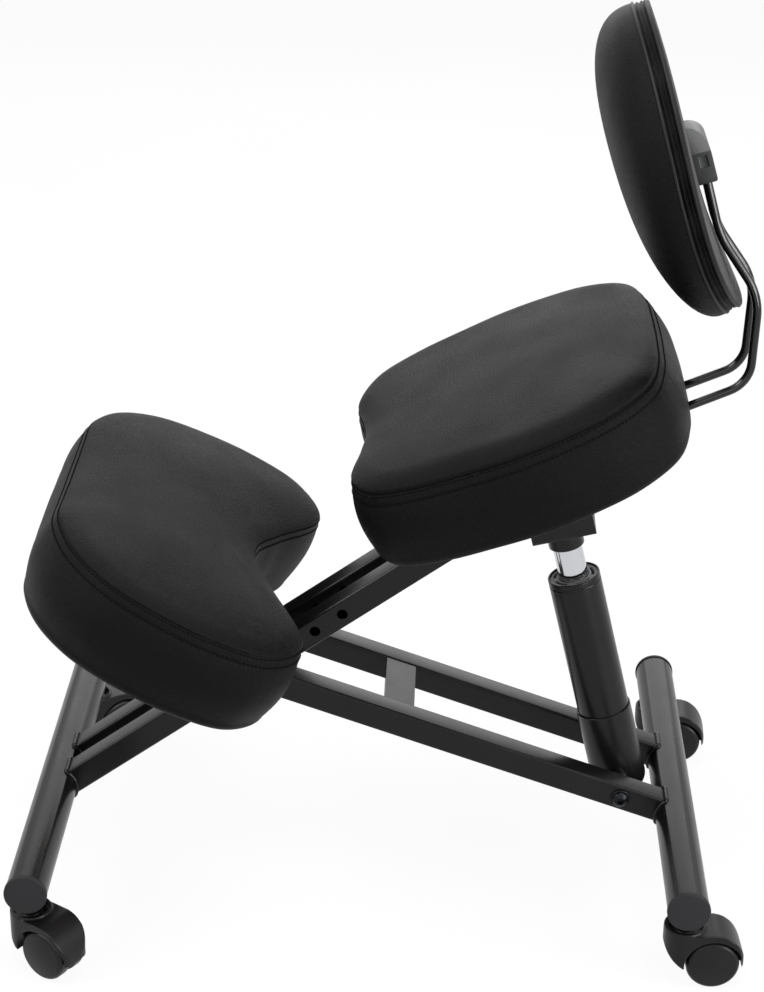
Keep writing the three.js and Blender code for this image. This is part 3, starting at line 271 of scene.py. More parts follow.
def bar(name, radius, begin, end, sides=48):
    """A round bar between two points."""
    begin, end = Vector(begin), Vector(end)
    along = end - begin
    return start(bpy.ops.mesh.primitive_cylinder_add, name, vertices=sides, radius=radius, depth=along.length,
                 location=(begin + end) / 2, rotation=along.to_track_quat("Z", "Y").to_euler())


def turned(name, profile, along="Z", steps=64, centre=(0, 0, 0)):
    """A turned piece, from the (radius, height) points of its profile, with its axis through centre."""
    obj = start(bpy.ops.mesh.primitive_plane_add, name, size=1)
    edit(obj)
    bpy.ops.mesh.merge(type="CENTER")
    here = Vector()
    for count, (radius, height) in enumerate(profile):
        there = Vector((radius, 0, height))
        if count:
            bpy.ops.mesh.extrude_vertices_move(TRANSFORM_OT_translate={"value": there - here})
        else:
            bpy.ops.transform.translate(value=there)
        here = there
    bpy.ops.mesh.select_all(action="SELECT")
    bpy.ops.mesh.spin(steps=steps, angle=TURN, center=(0, 0, 0), axis=(0, 0, 1))
    bpy.ops.mesh.select_all(action="SELECT")
    bpy.ops.mesh.remove_doubles(threshold=0.001)
    faced(obj)
    turns = {"Z": Matrix(), "X": Matrix.Rotation(TURN / 4, 4, "Y"), "Y": Matrix.Rotation(-TURN / 4, 4, "X")}
    obj.data.transform(Matrix.Translation(centre) @ turns[along])
    return obj


def slab(name, outline, begin, end, along="Z"):
    """A plate with an outline of (across, up) points, between two heights along its axis.
    Along X the outline is (y, z), along Y it is (x, z) and along Z it is (x, y)."""
    obj = start(bpy.ops.mesh.primitive_circle_add, name, vertices=len(outline), radius=1, fill_type="NGON")
    for vertex, (across, up) in zip(obj.data.vertices, outline):
        vertex.co = (across, up, begin)
    edit(obj)
    bpy.ops.mesh.select_all(action="SELECT")
    bpy.ops.mesh.extrude_region_move(TRANSFORM_OT_translate={"value": (0, 0, end - begin)})
    faced(obj)
    axes = {"Z": Matrix(), "X": Matrix(((0, 0, 1, 0), (1, 0, 0, 0), (0, 1, 0, 0), (0, 0, 0, 1))),
            "Y": Matrix(((1, 0, 0, 0), (0, 0, 1, 0), (0, 1, 0, 0), (0, 0, 0, 1)))}
    obj.data.transform(axes[along])
    # Along Y the two axes of the outline change places, which turns the plate inside out
    return faced(obj) if along == "Y" else obj


def arc(centre, radii, begin, end, steps=12):
    """Points of an arc or a quarter ellipse, with its angles in degrees."""
    across, up = radii if isinstance(radii, tuple) else (radii, radii)
    angles = [math.radians(begin + (end - begin) * step / steps) for step in range(steps + 1)]
    return [(centre[0] + across * math.cos(angle), centre[1] + up * math.sin(angle)) for angle in angles]


def rounded_square(half, corner):
    """Points of a square with rounded corners, round its middle."""
    straight = half - corner
    return [(x * straight + dx, z * straight + dz)
            for x, z, turn in ((1, 1, 0), (-1, 1, 90), (-1, -1, 180), (1, -1, 270))
            for dx, dz in arc((0, 0), corner, turn, turn + 90, 5)]


def curved(begin, control, end, steps=8):
    """Points of a bend between two points, drawn toward a third."""
    shares = [step / steps for step in range(steps + 1)]
    return [tuple((1 - t) ** 2 * a + 2 * t * (1 - t) * b + t * t * c for a, b, c in zip(begin, control, end))
            for t in shares]


def skin(name, rings, first, last):
    """A closed skin through rings with equal counts of points, with a point at each end."""
    count = len(rings[0])
    points = [tuple(first), *(tuple(point) for ring in rings for point in ring), tuple(last)]
    end = len(points) - 1
    faces = []
    for i in range(count):
        j = (i + 1) % count
        faces.append((0, 1 + i, 1 + j))
        for ring in range(len(rings) - 1):
            here = 1 + ring * count
            faces.append((here + i, here + count + i, here + count + j, here + j))
        faces.append((end, end - count + j, end - count + i))
    return faced(meshed(name, points, faces))


def swept(name, points, radius, closed=False, sides=6):
    """A round bar, cord or bead along points."""
    curve = bpy.data.curves.new(name, "CURVE")
    curve.dimensions = "3D"
    curve.bevel_depth = radius
    curve.bevel_resolution = sides
    curve.use_fill_caps = not closed
    spline = curve.splines.new("POLY")
    spline.points.add(len(points) - 1)
    for point, place in zip(spline.points, points):
        point.co = (*place, 1)
    spline.use_cyclic_u = closed
    only(added(name, curve))
    bpy.ops.object.convert(target="MESH")
    return bpy.context.object


def together(name, pieces):
    """One object of several."""
    only(pieces[0])
    for piece in pieces[1:]:
        piece.select_set(True)
    bpy.ops.object.join()
    obj = bpy.context.object
    obj.name = obj.data.name = name
    return obj


def copied(obj, name):
    """A second object with its own mesh."""
    only(obj)
    bpy.ops.object.duplicate()
    copy = bpy.context.object
    copy.name = copy.data.name = name
    return copy


def mirrored(obj, sign=-1):
    """The piece for the other side where the sign is negative, with its faces pointing out."""
    if sign < 0:
        obj.data.transform(Matrix.Scale(-1, 4, (1, 0, 0)))
        obj.data.flip_normals()
    return obj


def dressed(obj, finish):
    obj.data.materials.clear()
    obj.data.materials.append(FINISHES[finish])


def fitted(obj, place, body, finish, *replaced, smooth=35):
    """Places a piece modelled in millimetres, gives it its finish and fixes it to its body."""
    only(obj)
    obj.data.transform(place @ Matrix.Scale(MM, 4))
    bpy.ops.object.shade_smooth_by_angle(angle=math.radians(smooth))
    dressed(obj, finish)
    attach(obj, body)
    if replaced:
        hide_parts(*replaced)
    return obj


# Finishes

def linear(code):
    """An sRGB hex value as a linear colour."""
    parts = [int(code[i:i + 2], 16) / 255 for i in (0, 2, 4)]
    return tuple(p / 12.92 if p <= 0.04045 else ((p + 0.055) / 1.055) ** 2.4 for p in parts)


def add_node(tree, kind, inputs=(), **settings):
    """Adds a node with its settings, and sets or links its inputs by place, name or identifier."""
    node = tree.nodes.new(kind)
    for name, value in settings.items():
        setattr(node, name, value)
    for name, value in dict(inputs).items():
        socket = next(socket for place, socket in enumerate(node.inputs)
                      if name in (place, socket.identifier, socket.name))
        if isinstance(value, bpy.types.NodeSocket):
            tree.links.new(value, socket)
        else:
            socket.default_value = value
    return node


def surface(name, colour, roughness, metallic=0.0, **extra):
    """A material with a plain shader to build on, its tree and its shader."""
    material = bpy.data.materials.new(name)
    material.use_nodes = True
    tree = material.node_tree
    shader = tree.nodes["Principled BSDF"]
    shader.inputs["Base Color"].default_value = (*colour, 1)
    shader.inputs["Roughness"].default_value = roughness
    shader.inputs["Metallic"].default_value = metallic
    for socket, value in extra.items():
        shader.inputs[socket.replace("_", " ")].default_value = value
    return material, tree, shader


def object_noise(tree, size, detail=2.0, stretch=(1, 1, 1), output="Fac"):
    """Noise with grains of a size in millimetres, on the object's own place."""
    place = add_node(tree, "ShaderNodeTexCoord").outputs["Object"]
    scaled = add_node(tree, "ShaderNodeMapping", {"Vector": place, "Scale": stretch}).outputs["Vector"]
    return add_node(tree, "ShaderNodeTexNoise", {
        "Vector": scaled, "Scale": 1 / (size * MM), "Detail": detail,
    }).outputs[output]


def relief(tree, shader, height, depth, strength=1.0):
    """Bump from a height between 0 and 1, with its depth in millimetres."""
    bump = add_node(tree, "ShaderNodeBump", {"Height": height, "Distance": depth * MM, "Strength": strength})
    tree.links.new(bump.outputs["Normal"], shader.inputs["Normal"])


def spread(tree, value, low, high, begin=0.3, end=0.7):
    """Maps a noise onto a range."""
    return add_node(tree, "ShaderNodeMapRange", {
        "Value": value, "From Min": begin, "From Max": end, "To Min": low, "To Max": high,
    }).outputs["Result"]


def varied(tree, shader, value, low, high):
    """Varies the roughness between two values."""
    tree.links.new(spread(tree, value, low, high), shader.inputs["Roughness"])


def shade(colour, share):
    """A darker or lighter shade of a colour."""
    return tuple(min(part * share, 1) for part in colour)


def tinted(tree, shader, value, dark, light, begin=0.35, end=0.65):
    """Varies the colour a little between two colours."""
    mix = add_node(tree, "ShaderNodeMix", data_type="RGBA", inputs={
        "Factor_Float": spread(tree, value, 0, 1, begin, end), "A_Color": (*dark, 1), "B_Color": (*light, 1),
    })
    tree.links.new(mix.outputs[2], shader.inputs["Base Color"])


def powder_coat(name, colour, roughness, gloss):
    """Baked polyester powder on steel: a smooth film with a faint orange peel a few millimetres wide."""
    material, tree, shader = surface(name, colour, roughness, Specular_IOR_Level=gloss)
    relief(tree, shader, object_noise(tree, size=1.6, detail=1.0), depth=0.03)
    cloud = object_noise(tree, size=45, detail=3.0)
    varied(tree, shader, cloud, roughness - 0.03, roughness + 0.04)
    tinted(tree, shader, cloud, shade(colour, 0.9), shade(colour, 1.1))
    return material


def moulded_plastic(name, colour, roughness, grain, depth, gloss=0.2):
    """Injection-moulded ABS or polypropylene: even colour, and a fine spark-eroded mould texture."""
    material, tree, shader = surface(name, colour, roughness, IOR=1.5, Specular_IOR_Level=gloss)
    relief(tree, shader, object_noise(tree, size=grain), depth)
    flow = object_noise(tree, size=30)
    varied(tree, shader, flow, roughness - 0.04, roughness + 0.04)
    tinted(tree, shader, flow, shade(colour, 0.93), shade(colour, 1.07))
    return material


def coated_fabric(colour, roughness):
    """Polyurethane leathercloth: pebbles of grain between finer creases, with a soft sheen. The real
    pebbles are about a millimetre wide, and they are drawn nearly twice as wide so that they show."""
    material, tree, shader = surface("black_leathercloth", colour, roughness, IOR=1.5, Specular_IOR_Level=0.06)
    pebble, wander = 1.9, 0.0006
    place = add_node(tree, "ShaderNodeTexCoord").outputs["Object"]
    moved = add_node(tree, "ShaderNodeMix", data_type="VECTOR", inputs={
        "Factor_Float": wander, "A_Vector": place, "B_Vector": object_noise(tree, size=3.0, output="Color"),
    })
    cells = add_node(tree, "ShaderNodeTexVoronoi", {"Vector": moved.outputs[1], "Scale": 1 / (pebble * MM)},
                     feature="DISTANCE_TO_EDGE")
    creases = spread(tree, cells.outputs["Distance"], 0, 1, 0.02, 0.35)
    height = add_node(tree, "ShaderNodeMath", operation="MULTIPLY_ADD", inputs={
        0: object_noise(tree, size=0.7), 1: 0.35, 2: creases,
    })
    relief(tree, shader, height.outputs[0], depth=0.28, strength=0.9)
    varied(tree, shader, object_noise(tree, size=60, detail=3.0), roughness - 0.03, roughness + 0.05)
    # The creases are also painted darker: painted shade in the hollows of the grain
    tinted(tree, shader, creases, shade(colour, 0.72), colour, 0.0, 1.0)
    return material


def polished_chrome():
    """Hard chrome on a ground rod: a mirror with faint grinding marks round it."""
    material, tree, shader = surface("polished_chrome", linear("c6c8cb"), 0.09, 1.0)
    marks = object_noise(tree, size=6, detail=3.0, stretch=(1, 1, 14))
    varied(tree, shader, marks, 0.06, 0.13)
    relief(tree, shader, marks, depth=0.004)
    return material


def zinc_plate(name, colour, roughness):
    """Zinc-plated steel with a passivated film: grey, softly cloudy and a little worn."""
    material, tree, shader = surface(name, colour, roughness, 1.0)
    cloud = object_noise(tree, size=4, detail=4.0)
    varied(tree, shader, cloud, roughness - 0.08, roughness + 0.1)
    relief(tree, shader, object_noise(tree, size=0.8), depth=0.01)
    tinted(tree, shader, cloud, shade(colour, 0.8), shade(colour, 1.15))
    return material


def birch_plywood():
    """Rotary-cut birch: pale bands of grain drawn out along one way, and a dry matt face."""
    material, tree, shader = surface("birch_plywood", linear("c19a6b"), 0.62)
    grain = object_noise(tree, size=9, detail=4.0, stretch=(1, 0.12, 3))
    tinted(tree, shader, grain, linear("a97c4c"), linear("d2ae80"))
    relief(tree, shader, grain, depth=0.08)
    return material


def thread(colour):
    """Bonded polyester sewing thread: matt, with a slight twist."""
    material, tree, shader = surface("bonded_thread", colour, 0.8, Specular_IOR_Level=0.05)
    twist = object_noise(tree, size=0.5, detail=1.0)
    relief(tree, shader, twist, depth=0.1)
    tinted(tree, shader, twist, shade(colour, 0.7), shade(colour, 1.4))
    return material


FINISHES = {}


# What a user would change

def colour_setting(name, description, code):
    return FloatVectorProperty(name=name, description=description, subtype="COLOR", default=linear(code))


class FinishSettings(PropertyGroup):
    frame_colour: colour_setting("Frame", "Colour of the powder coat", "0b0b0c")
    cover_colour: colour_setting("Pads", "Colour of the leathercloth", "0b0b0c")
    cover_roughness: FloatProperty(
        name="Pad roughness", description="How matt the leathercloth is", subtype="FACTOR", default=0.48, min=0, max=1)
    plastic_colour: colour_setting("Plastic", "Colour of the casters and the lever", "0d0d0e")
    cap_colour: colour_setting("End caps", "Colour of the tube end caps", "1c1c1e")
    steel_colour: colour_setting("Hardware", "Colour of bolts, nuts and pins", "242528")


class StageSettings(PropertyGroup):
    lens: FloatProperty(
        name="Lens", description="Focal length of the camera, in millimetres", unit="CAMERA", default=86.51)
    light: FloatProperty(
        name="Light", description="Strength of all lamps together", default=1.0, min=0)
    floor_size: FloatProperty(
        name="Floor", description="Side of the floor", unit="LENGTH", default=160)


# Stage

CAMERA_PLACE = (2.02907, 0.05363, 1.3213)
# Yaw, pitch and roll in degrees
CAMERA_TURNS = (-1.63, 24.62, 0.55)
SENSOR_WIDTH = 36
# How much of the floor the camera sees as white, and how bright the world is for the object
FLOOR_WHITE = 0.93
WORLD_LIGHT = 0.3
# Name, place and target in metres, width and height in metres, and power in watts
LAMPS = (
    ("key_softbox", (0.9, -2.6, 2.3), (0, -0.1, 0.4), (1.6, 1.6), 66),
    ("top_softbox", (0.2, 0.2, 3.2), (0, 0, 0.4), (2.2, 2.2), 80),
    ("rear_softbox", (1.2, 2.7, 1.6), (0, 0.1, 0.4), (1.0, 2.0), 62),
    ("front_fill", (3.0, -0.6, 1.0), (0, 0, 0.4), (2.0, 1.4), 10),
    ("far_softbox", (-3.0, 0.1, 1.35), (0, 0, 0.4), (2.6, 1.3), 21),
    ("side_softbox", (2.3, 2.3, 0.55), (0, 0.4, 0.4), (1.0, 1.0), 46),
)


class CHAIR_OT_stage(Operator):
    """Adds the floor, the world, the lamps and the camera"""
    bl_idname = "chair.stage"
    bl_label = "Stage"

    def execute(self, context):
        settings = context.scene.chair_stage
        context.scene.view_settings.view_transform = "Standard"
        floor = start(bpy.ops.mesh.primitive_plane_add, "stage_floor", size=settings.floor_size)
        material, tree, shader = surface("pale_floor", linear("e6e6e6"), 0.9, Specular_IOR_Level=0.0)
        tinted(tree, shader, object_noise(tree, size=400), linear("e2e2e2"), linear("eaeaea"))
        self.whitened(tree, shader.outputs["BSDF"], tree.nodes["Material Output"].inputs["Surface"],
                      "ShaderNodeEmission", FLOOR_WHITE)
        floor.data.materials.append(material)
        self.add_world(context)
        for name, place, target, size, power in LAMPS:
            self.add_lamp(name, Vector(place), Vector(target), size, power * settings.light)
        self.add_camera(context, settings.lens)
        return {"FINISHED"}

    def whitened(self, tree, plain, output, kind, share):
        """Shows white to the camera, and to what metal and glass reflect."""
        white = add_node(tree, kind, {"Color": (1, 1, 1, 1), "Strength": 1.0})
        path = add_node(tree, "ShaderNodeLightPath")
        seen = path.outputs["Is Camera Ray"]
        for ray in ("Is Glossy Ray", "Is Transmission Ray"):
            seen = add_node(tree, "ShaderNodeMath", operation="MAXIMUM", inputs={
                0: seen, 1: path.outputs[ray],
            }).outputs[0]
        factor = add_node(tree, "ShaderNodeMath", operation="MULTIPLY", inputs={0: seen, 1: share})
        mix = add_node(tree, "ShaderNodeMixShader", {"Fac": factor.outputs[0]})
        tree.links.new(plain, mix.inputs[1])
        tree.links.new(white.outputs[0], mix.inputs[2])
        tree.links.new(mix.outputs[0], output)

    def add_world(self, context):
        world = bpy.data.worlds.new("pale_studio")
        context.scene.world = world
        world.use_nodes = True
        tree = world.node_tree
        dim = tree.nodes["Background"]
        dim.inputs["Color"].default_value = (1, 1, 1, 1)
        dim.inputs["Strength"].default_value = WORLD_LIGHT
        self.whitened(tree, dim.outputs[0], tree.nodes["World Output"].inputs["Surface"],
                      "ShaderNodeBackground", 1.0)

    def add_lamp(self, name, place, target, size, power):
        light = bpy.data.lights.new(name, "AREA")
        light.shape = "RECTANGLE"
        light.size, light.size_y = size
        light.energy = power
        lamp = added(name, light)
        lamp.visible_camera = False
        aim = (target - place).to_track_quat("-Z", "Y").to_matrix().to_4x4()
        lamp.matrix_world = Matrix.Translation(place) @ aim

    def add_camera(self, context, lens):
        yaw, pitch, roll = (math.radians(angle) for angle in CAMERA_TURNS)
        ahead = Vector((-math.cos(pitch) * math.cos(yaw), math.cos(pitch) * math.sin(yaw), -math.sin(pitch)))
        level = Vector((math.sin(yaw), math.cos(yaw), 0))
        upright = level.cross(ahead)
        right = math.cos(roll) * level + math.sin(roll) * upright
        up = math.cos(roll) * upright - math.sin(roll) * level
        camera = added("camera", bpy.data.cameras.new("camera"))
        camera.data.lens = lens
        camera.data.sensor_width = SENSOR_WIDTH
        turns = Matrix((right, up, -ahead)).transposed().to_4x4()
        camera.matrix_world = Matrix.Translation(CAMERA_PLACE) @ turns
        context.scene.camera = camera


# Frame

class CHAIR_OT_cross_tubes(Operator):
    """Adds the two round cross tubes and their end caps"""
    bl_idname = "chair.cross_tubes"
    bl_label = "Cross tubes"

    def execute(self, context):
        inner = TUBE["radius"] - TUBE["wall"]
        for end, centre, body in (("front", FRONT_TUBE, "seat_frame"), ("rear", REAR_TUBE, "knee_frame")):
            place = placed(centre, 0)
            tube = turned(f"{end}_tube", [
                (inner, -TUBE["half"]), (TUBE["radius"], -TUBE["half"]), (TUBE["radius"], TUBE["half"]),
                (inner, TUBE["half"]), (inner, -TUBE["half"]),
            ], "X", 96)
            for x in (-TUBE["stem_hole"], TUBE["stem_hole"]):
                hole = bar("hole", BOLT_HOLE, (x, 0, -TUBE["radius"] - OVER), (x, 0, 0))
                combined(tube, hole, "DIFFERENCE")
            fitted(rounded(tube, 0.5, 2), place, body, "frame", f"{end}_cross_tube")
            for side, sign in SIDES:
                cap = self.end_cap(f"{side}_{end}_cap")
                cap.data.transform(Matrix.Translation((TUBE["half"], 0, 0)))
                fitted(mirrored(cap, sign), place, body, "caps", f"{side}_{end}_end_cap")
        return {"FINISHED"}

    def end_cap(self, name):
        """A plug with a slightly domed head and a rounded rim."""
        plug, back = TUBE["radius"] - TUBE["wall"] - SNUG, -CAP["plug"]
        rim, head, edge = CAP["rim"], CAP["head"], CAP["edge"]
        return turned(name, [
            (0, back), (plug - edge, back), (plug, back + edge), (plug, GAP), (rim, GAP),
            *arc((rim - edge, head - edge - CAP["dome"]), edge, 0, 90, 6), (plug / 2, head - CAP["fall"]), (0, head),
        ], "X", 96)


class CHAIR_OT_rails(Operator):
    """Adds the two pairs of square rails"""
    bl_idname = "chair.rails"
    bl_label = "Square rails"

    def execute(self, context):
        tilt = math.radians(SEAT_RAIL_TILT)
        seat_bolt = (PIVOT - FRONT_TUBE).yz.dot(Vector((math.cos(tilt), math.sin(tilt)))) / MM
        lift_bolt = (LIFT_BOLT - PIVOT).length / MM + seat_bolt
        holes = [seat_bolt + i * SEAT_RAIL["hole_pitch"] for i in range(SEAT_RAIL["holes"])] + [lift_bolt]
        knee_holes = [-(REAR_TUBE - PIVOT).yz.length / MM, -KNEE_RAIL["column_bolt"]]
        for side, sign in SIDES:
            rail = self.rail(f"{side}_seat_rail_tube", SEAT_RAIL["inner"], 0, lift_bolt + SEAT_RAIL["past_bolt"],
                             -SEAT_RAIL["drop"], holes)
            fitted(mirrored(rail, sign), SEAT_RAILS, "seat_frame", "frame", f"{side}_seat_rail")
            rail = self.rail(f"{side}_knee_rail_tube", KNEE_RAIL["inner"], -KNEE_RAIL["length"], 0, 0, knee_holes)
            fitted(mirrored(rail, sign), KNEE_RAILS, "knee_frame", "frame", f"{side}_knee_rail")
        return {"FINISHED"}

    def rail(self, name, inner, begin, end, height, holes):
        """A square tube with rounded corners, coped onto its cross tube, drilled, and open at its end."""
        half = RAIL["side"] / 2
        middle = inner + half
        low, high = inner - OVER, inner + RAIL["side"] + OVER
        outline = rounded_square(half, RAIL["corner"])
        tube = slab(name, [(x + middle, z + height) for x, z in outline], begin, end, "Y")
        share = 1 - RAIL["wall"] / half
        bore = [(x * share + middle, z * share + height) for x, z in outline]
        combined(tube, slab("bore", bore, begin - OVER, end + OVER, "Y"), "DIFFERENCE")
        combined(tube, bar("cope", TUBE["radius"] + 0.25, (low, 0, 0), (high, 0, 0), 96), "DIFFERENCE")
        for y in holes:
            combined(tube, bar("hole", BOLT_HOLE, (low, y, height), (high, y, height), 32), "DIFFERENCE")
        return tube


class CHAIR_OT_bolts(Operator):
    """Adds the three bolts through the rails, with domed heads and domed nuts"""
    bl_idname = "chair.bolts"
    bl_label = "Bolts and nuts"

    def execute(self, context):
        grips = (
            ("pivot", PIVOT, BOLT["rail_grip"], "knee_frame"),
            ("column", COLUMN_BOLT, BOLT["rail_grip"], "knee_frame"),
            ("lift", LIFT_BOLT, BOLT["lift_grip"], "seat_frame"),
        )
        for name, centre, grip, body in grips:
            place = placed(centre, 0)
            fitted(self.bolt(f"{name}_domed_bolt", grip), place, body, "steel", f"{name}_bolt")
            fitted(self.nut(f"{name}_domed_nut", grip), place, body, "steel", f"{name}_nut")
        return {"FINISHED"}

    def bolt(self, name, grip):
        radius, wide, socket = BOLT["radius"], BOLT["flange_radius"], BOLT["socket"]
        low = -grip - NUT["height"] + NUT["wall"]
        top = grip + GAP
        flange = top + BOLT["flange"]
        dome = BOLT["head"] - BOLT["flange"]
        body = turned(name, [
            (0, low), (radius, low), (radius, top), (wide, top), (wide, flange - 0.4), (wide - 0.4, flange),
            *arc((0, flange), (BOLT["head_radius"], dome), 0, 70, 10), (socket + 0.6, flange + dome),
            (0, flange + dome),
        ], "X", 48)
        key = self.six_sided("key", socket * 1.155, 8, flange + dome - BOLT["deep"] + 4)
        return rounded(combined(body, key, "DIFFERENCE"), 0.15, 2)

    def six_sided(self, name, radius, length, middle):
        return start(bpy.ops.mesh.primitive_cylinder_add, name, vertices=6, radius=radius, depth=length,
                     location=(middle, 0, 0), rotation=(0, TURN / 4, 0))

    def nut(self, name, grip):
        """A hexagon with a dome on it, on the right-hand side."""
        base, flat, across = grip + GAP, NUT["height"] - NUT["dome"], NUT["radius"]
        narrow, wide, slope = across - NUT["chamfer"], across + SNUG, NUT["chamfer_height"]
        hexagon = self.six_sided("hexagon", across, flat, base + flat / 2)
        chamfer = turned("chamfer", [
            (0, base), (narrow, base), (wide, base + slope), (wide, base + flat - slope), (narrow, base + flat),
            (0, base + flat),
        ], "X", 48)
        combined(hexagon, chamfer, "INTERSECT")
        crown = across * NUT["dome_share"]
        dome = turned("dome", [
            (0, base + 0.1), (crown, base + 0.1), (crown, base + flat),
            *arc((0, base + flat), (crown, NUT["dome"]), 0, 90, 10),
        ], "X", 48)
        nut = combined(hexagon, dome, "UNION")
        bore = bar("bore", BOLT["radius"] + SNUG, (base - 2, 0, 0),
                   (base + NUT["height"] - NUT["wall"] + GAP, 0, 0))
        nut = mirrored(combined(nut, bore, "DIFFERENCE"))
        nut.name = nut.data.name = name
        return nut


class CHAIR_OT_welds(Operator):
    """Adds the weld beads where the square rails meet the cross tubes"""
    bl_idname = "chair.welds"
    bl_label = "Weld beads"

    def execute(self, context):
        for end, place, body, inner, drop, toward in (
            ("front", SEAT_RAILS, "seat_frame", SEAT_RAIL["inner"], SEAT_RAIL["drop"], 1),
            ("rear", KNEE_RAILS, "knee_frame", KNEE_RAIL["inner"], 0, -1),
        ):
            bead = self.bead(f"left_{end}_weld", inner + RAIL["side"] / 2, drop, toward)
            other = mirrored(copied(bead, f"right_{end}_weld"))
            for weld in (bead, other):
                fitted(weld, place, body, "frame", smooth=180)
        return {"FINISHED"}

    def bead(self, name, middle, drop, toward):
        """A rippled cord round the rail, on the curve where it meets the round tube."""
        ring = rounded_square(RAIL["side"] / 2 + WELD["off_rail"], RAIL["corner"])
        points = []
        for (x0, z0), (x1, z1) in zip(ring, ring[1:] + ring[:1]):
            steps = max(1, round(math.hypot(x1 - x0, z1 - z0) / WELD["step"]))
            points += [(x0 + (x1 - x0) * i / steps, z0 + (z1 - z0) * i / steps) for i in range(steps)]
        path = []
        for i, (x, z) in enumerate(points):
            reach = math.sqrt(max(TUBE["radius"] ** 2 - min(abs(z - drop), TUBE["radius"]) ** 2, 0))
            ripple = WELD["ripple"] * math.sin(WELD["pace"] * i)
            path.append((x + middle, toward * (reach + WELD["off_tube"] + ripple), z - drop))
        return swept(name, path, WELD["radius"], closed=True, sides=3)


# Gas lift

class CHAIR_OT_gas_lift(Operator):
    """Adds the column in its cup, the guide bushing and the chromed cylinder with its valve button"""
    bl_idname = "chair.gas_lift"
    bl_label = "Gas lift"

    def execute(self, context):
        fitted(self.cup(), LIFT, "gas_column", "frame", "column_cup")
        fitted(self.column(), LIFT, "gas_column", "frame", "column_tube")
        fitted(self.bushing(), LIFT, "gas_column", "nylon", "guide_bushing")
        fitted(self.cylinder(), LIFT, "gas_cylinder", "chrome", "gas_cylinder")
        fitted(self.socket(), LIFT, "gas_cylinder", "frame", "taper_socket")
        fitted(self.button(), LIFT, "valve_button", "steel", "valve_button")
        return {"FINISHED"}

    def cup(self):
        """A deep cup with a round bottom, and a cross tube through it for the lower bolt."""
        radius, bottom, bend, top = CUP["radius"], CUP["bottom"], CUP["round"], CUP["top"]
        bore, half = COLUMN["radius"] + SNUG, CUP["boss_half"]
        cup = turned("column_foot_cup", [
            (0, bottom), *arc((radius - bend, bottom + bend), bend, -90, 0, 16), (radius, top - 0.5),
            (radius - 0.4, top), (bore, top), (bore, CUP["seat"]), (0, CUP["seat"]),
        ], steps=96)
        boss = rounded(bar("boss", CUP["boss"], (-half, 0, 0), (half, 0, 0), 64), CUP["boss_edge"])
        combined(cup, boss, "UNION")
        return combined(cup, bar("hole", BOLT_HOLE, (-50, 0, 0), (50, 0, 0)), "DIFFERENCE")

    def column(self):
        """A closed tube with a rolled groove near its top, above which it holds the bushing."""
        radius, top, bottom, edge = COLUMN["radius"], COLUMN["top"], COLUMN["bottom"], COLUMN["edge"]
        inner, groove, deep = radius - COLUMN["wall"], top - COLUMN["groove"], COLUMN["groove_depth"]
        floor = bottom + COLUMN["floor"]
        return turned("column_outer_tube", [
            (0, bottom), (radius, bottom), (radius, groove - 2.4), (radius - deep / 2, groove - 2),
            (radius - deep, groove - 1.4), (radius - deep, groove - 1.0), (radius - deep / 2, groove - 0.4),
            (radius, groove), *arc((radius - edge, top - edge), edge, 0, 90, 6), (inner + 0.3, top),
            (inner, top - 0.3), (inner, floor), (0, floor),
        ], steps=96)

    def bushing(self):
        """A moulded guide with curved relief slots in its top."""
        top = COLUMN["top"] - BUSHING["below"]
        low, edge, lead = top - BUSHING["length"], BUSHING["edge"], BUSHING["lead"]
        outer, bore = COLUMN["radius"] - COLUMN["wall"] - SNUG, CYLINDER["radius"] + SNUG
        guide = turned("slotted_guide", [
            (bore, low), (outer, low), (outer, top - edge), (outer - edge, top), (bore + lead, top),
            (bore, top - lead), (bore, low),
        ], steps=96)
        pitch = 360 / BUSHING["slots"]
        for i in range(BUSHING["slots"]):
            begin, end = i * pitch, (i + BUSHING["slot_share"]) * pitch
            outline = arc((0, 0), BUSHING["slot_outer"], begin, end) + arc((0, 0), BUSHING["slot_inner"], end, begin)
            combined(guide, slab("slot", outline, top - BUSHING["slot_depth"], top + OVER), "DIFFERENCE")
        return guide

    def cylinder(self):
        radius, bottom, floor, guide = (CYLINDER[name] for name in ("radius", "bottom", "floor", "guide"))
        head, cone = LIFT_LENGTH - CYLINDER["head_below"], CYLINDER["taper"]
        under, cup = head - CYLINDER["head"], head - CYLINDER["cup"]
        bore, inner = CYLINDER["bore"], radius - CYLINDER["wall"]
        return turned("chromed_cylinder", [
            (guide, bottom), (radius - 1, bottom), (radius, bottom + 1),
            (radius, LIFT_LENGTH - BRACKET["below"] - SOCKET["below"]), (cone, head - 0.6), (cone - 0.6, head),
            (bore, head), (bore, cup), (0, cup), (0, under), (inner, under), (inner, floor), (guide, floor),
            (guide, bottom),
        ], steps=96)

    def socket(self):
        bottom = LIFT_LENGTH - BRACKET["below"] - SOCKET["below"]
        top = LIFT_LENGTH - CYLINDER["head_below"] - SOCKET["under_head"]
        bore, radius, lip, edge = CYLINDER["radius"] + GAP, SOCKET["radius"], SOCKET["lip"], SOCKET["edge"]
        return turned("socket_sleeve", [
            (bore, bottom), (radius - lip, bottom), *arc((radius - lip, bottom + lip), lip, -90, 0, 8),
            (radius, top - edge), (radius - edge, top), (bore, top), (bore, bottom),
        ], steps=96)

    def button(self):
        head, radius, edge = LIFT_LENGTH - CYLINDER["head_below"], BUTTON["radius"], BUTTON["edge"]
        low, top = head - BUTTON["below"], head + BUTTON["above"]
        return turned("valve_pin", [(0, low), (radius, low), (radius, top - edge), (radius - edge, top), (0, top)],
                      steps=32)


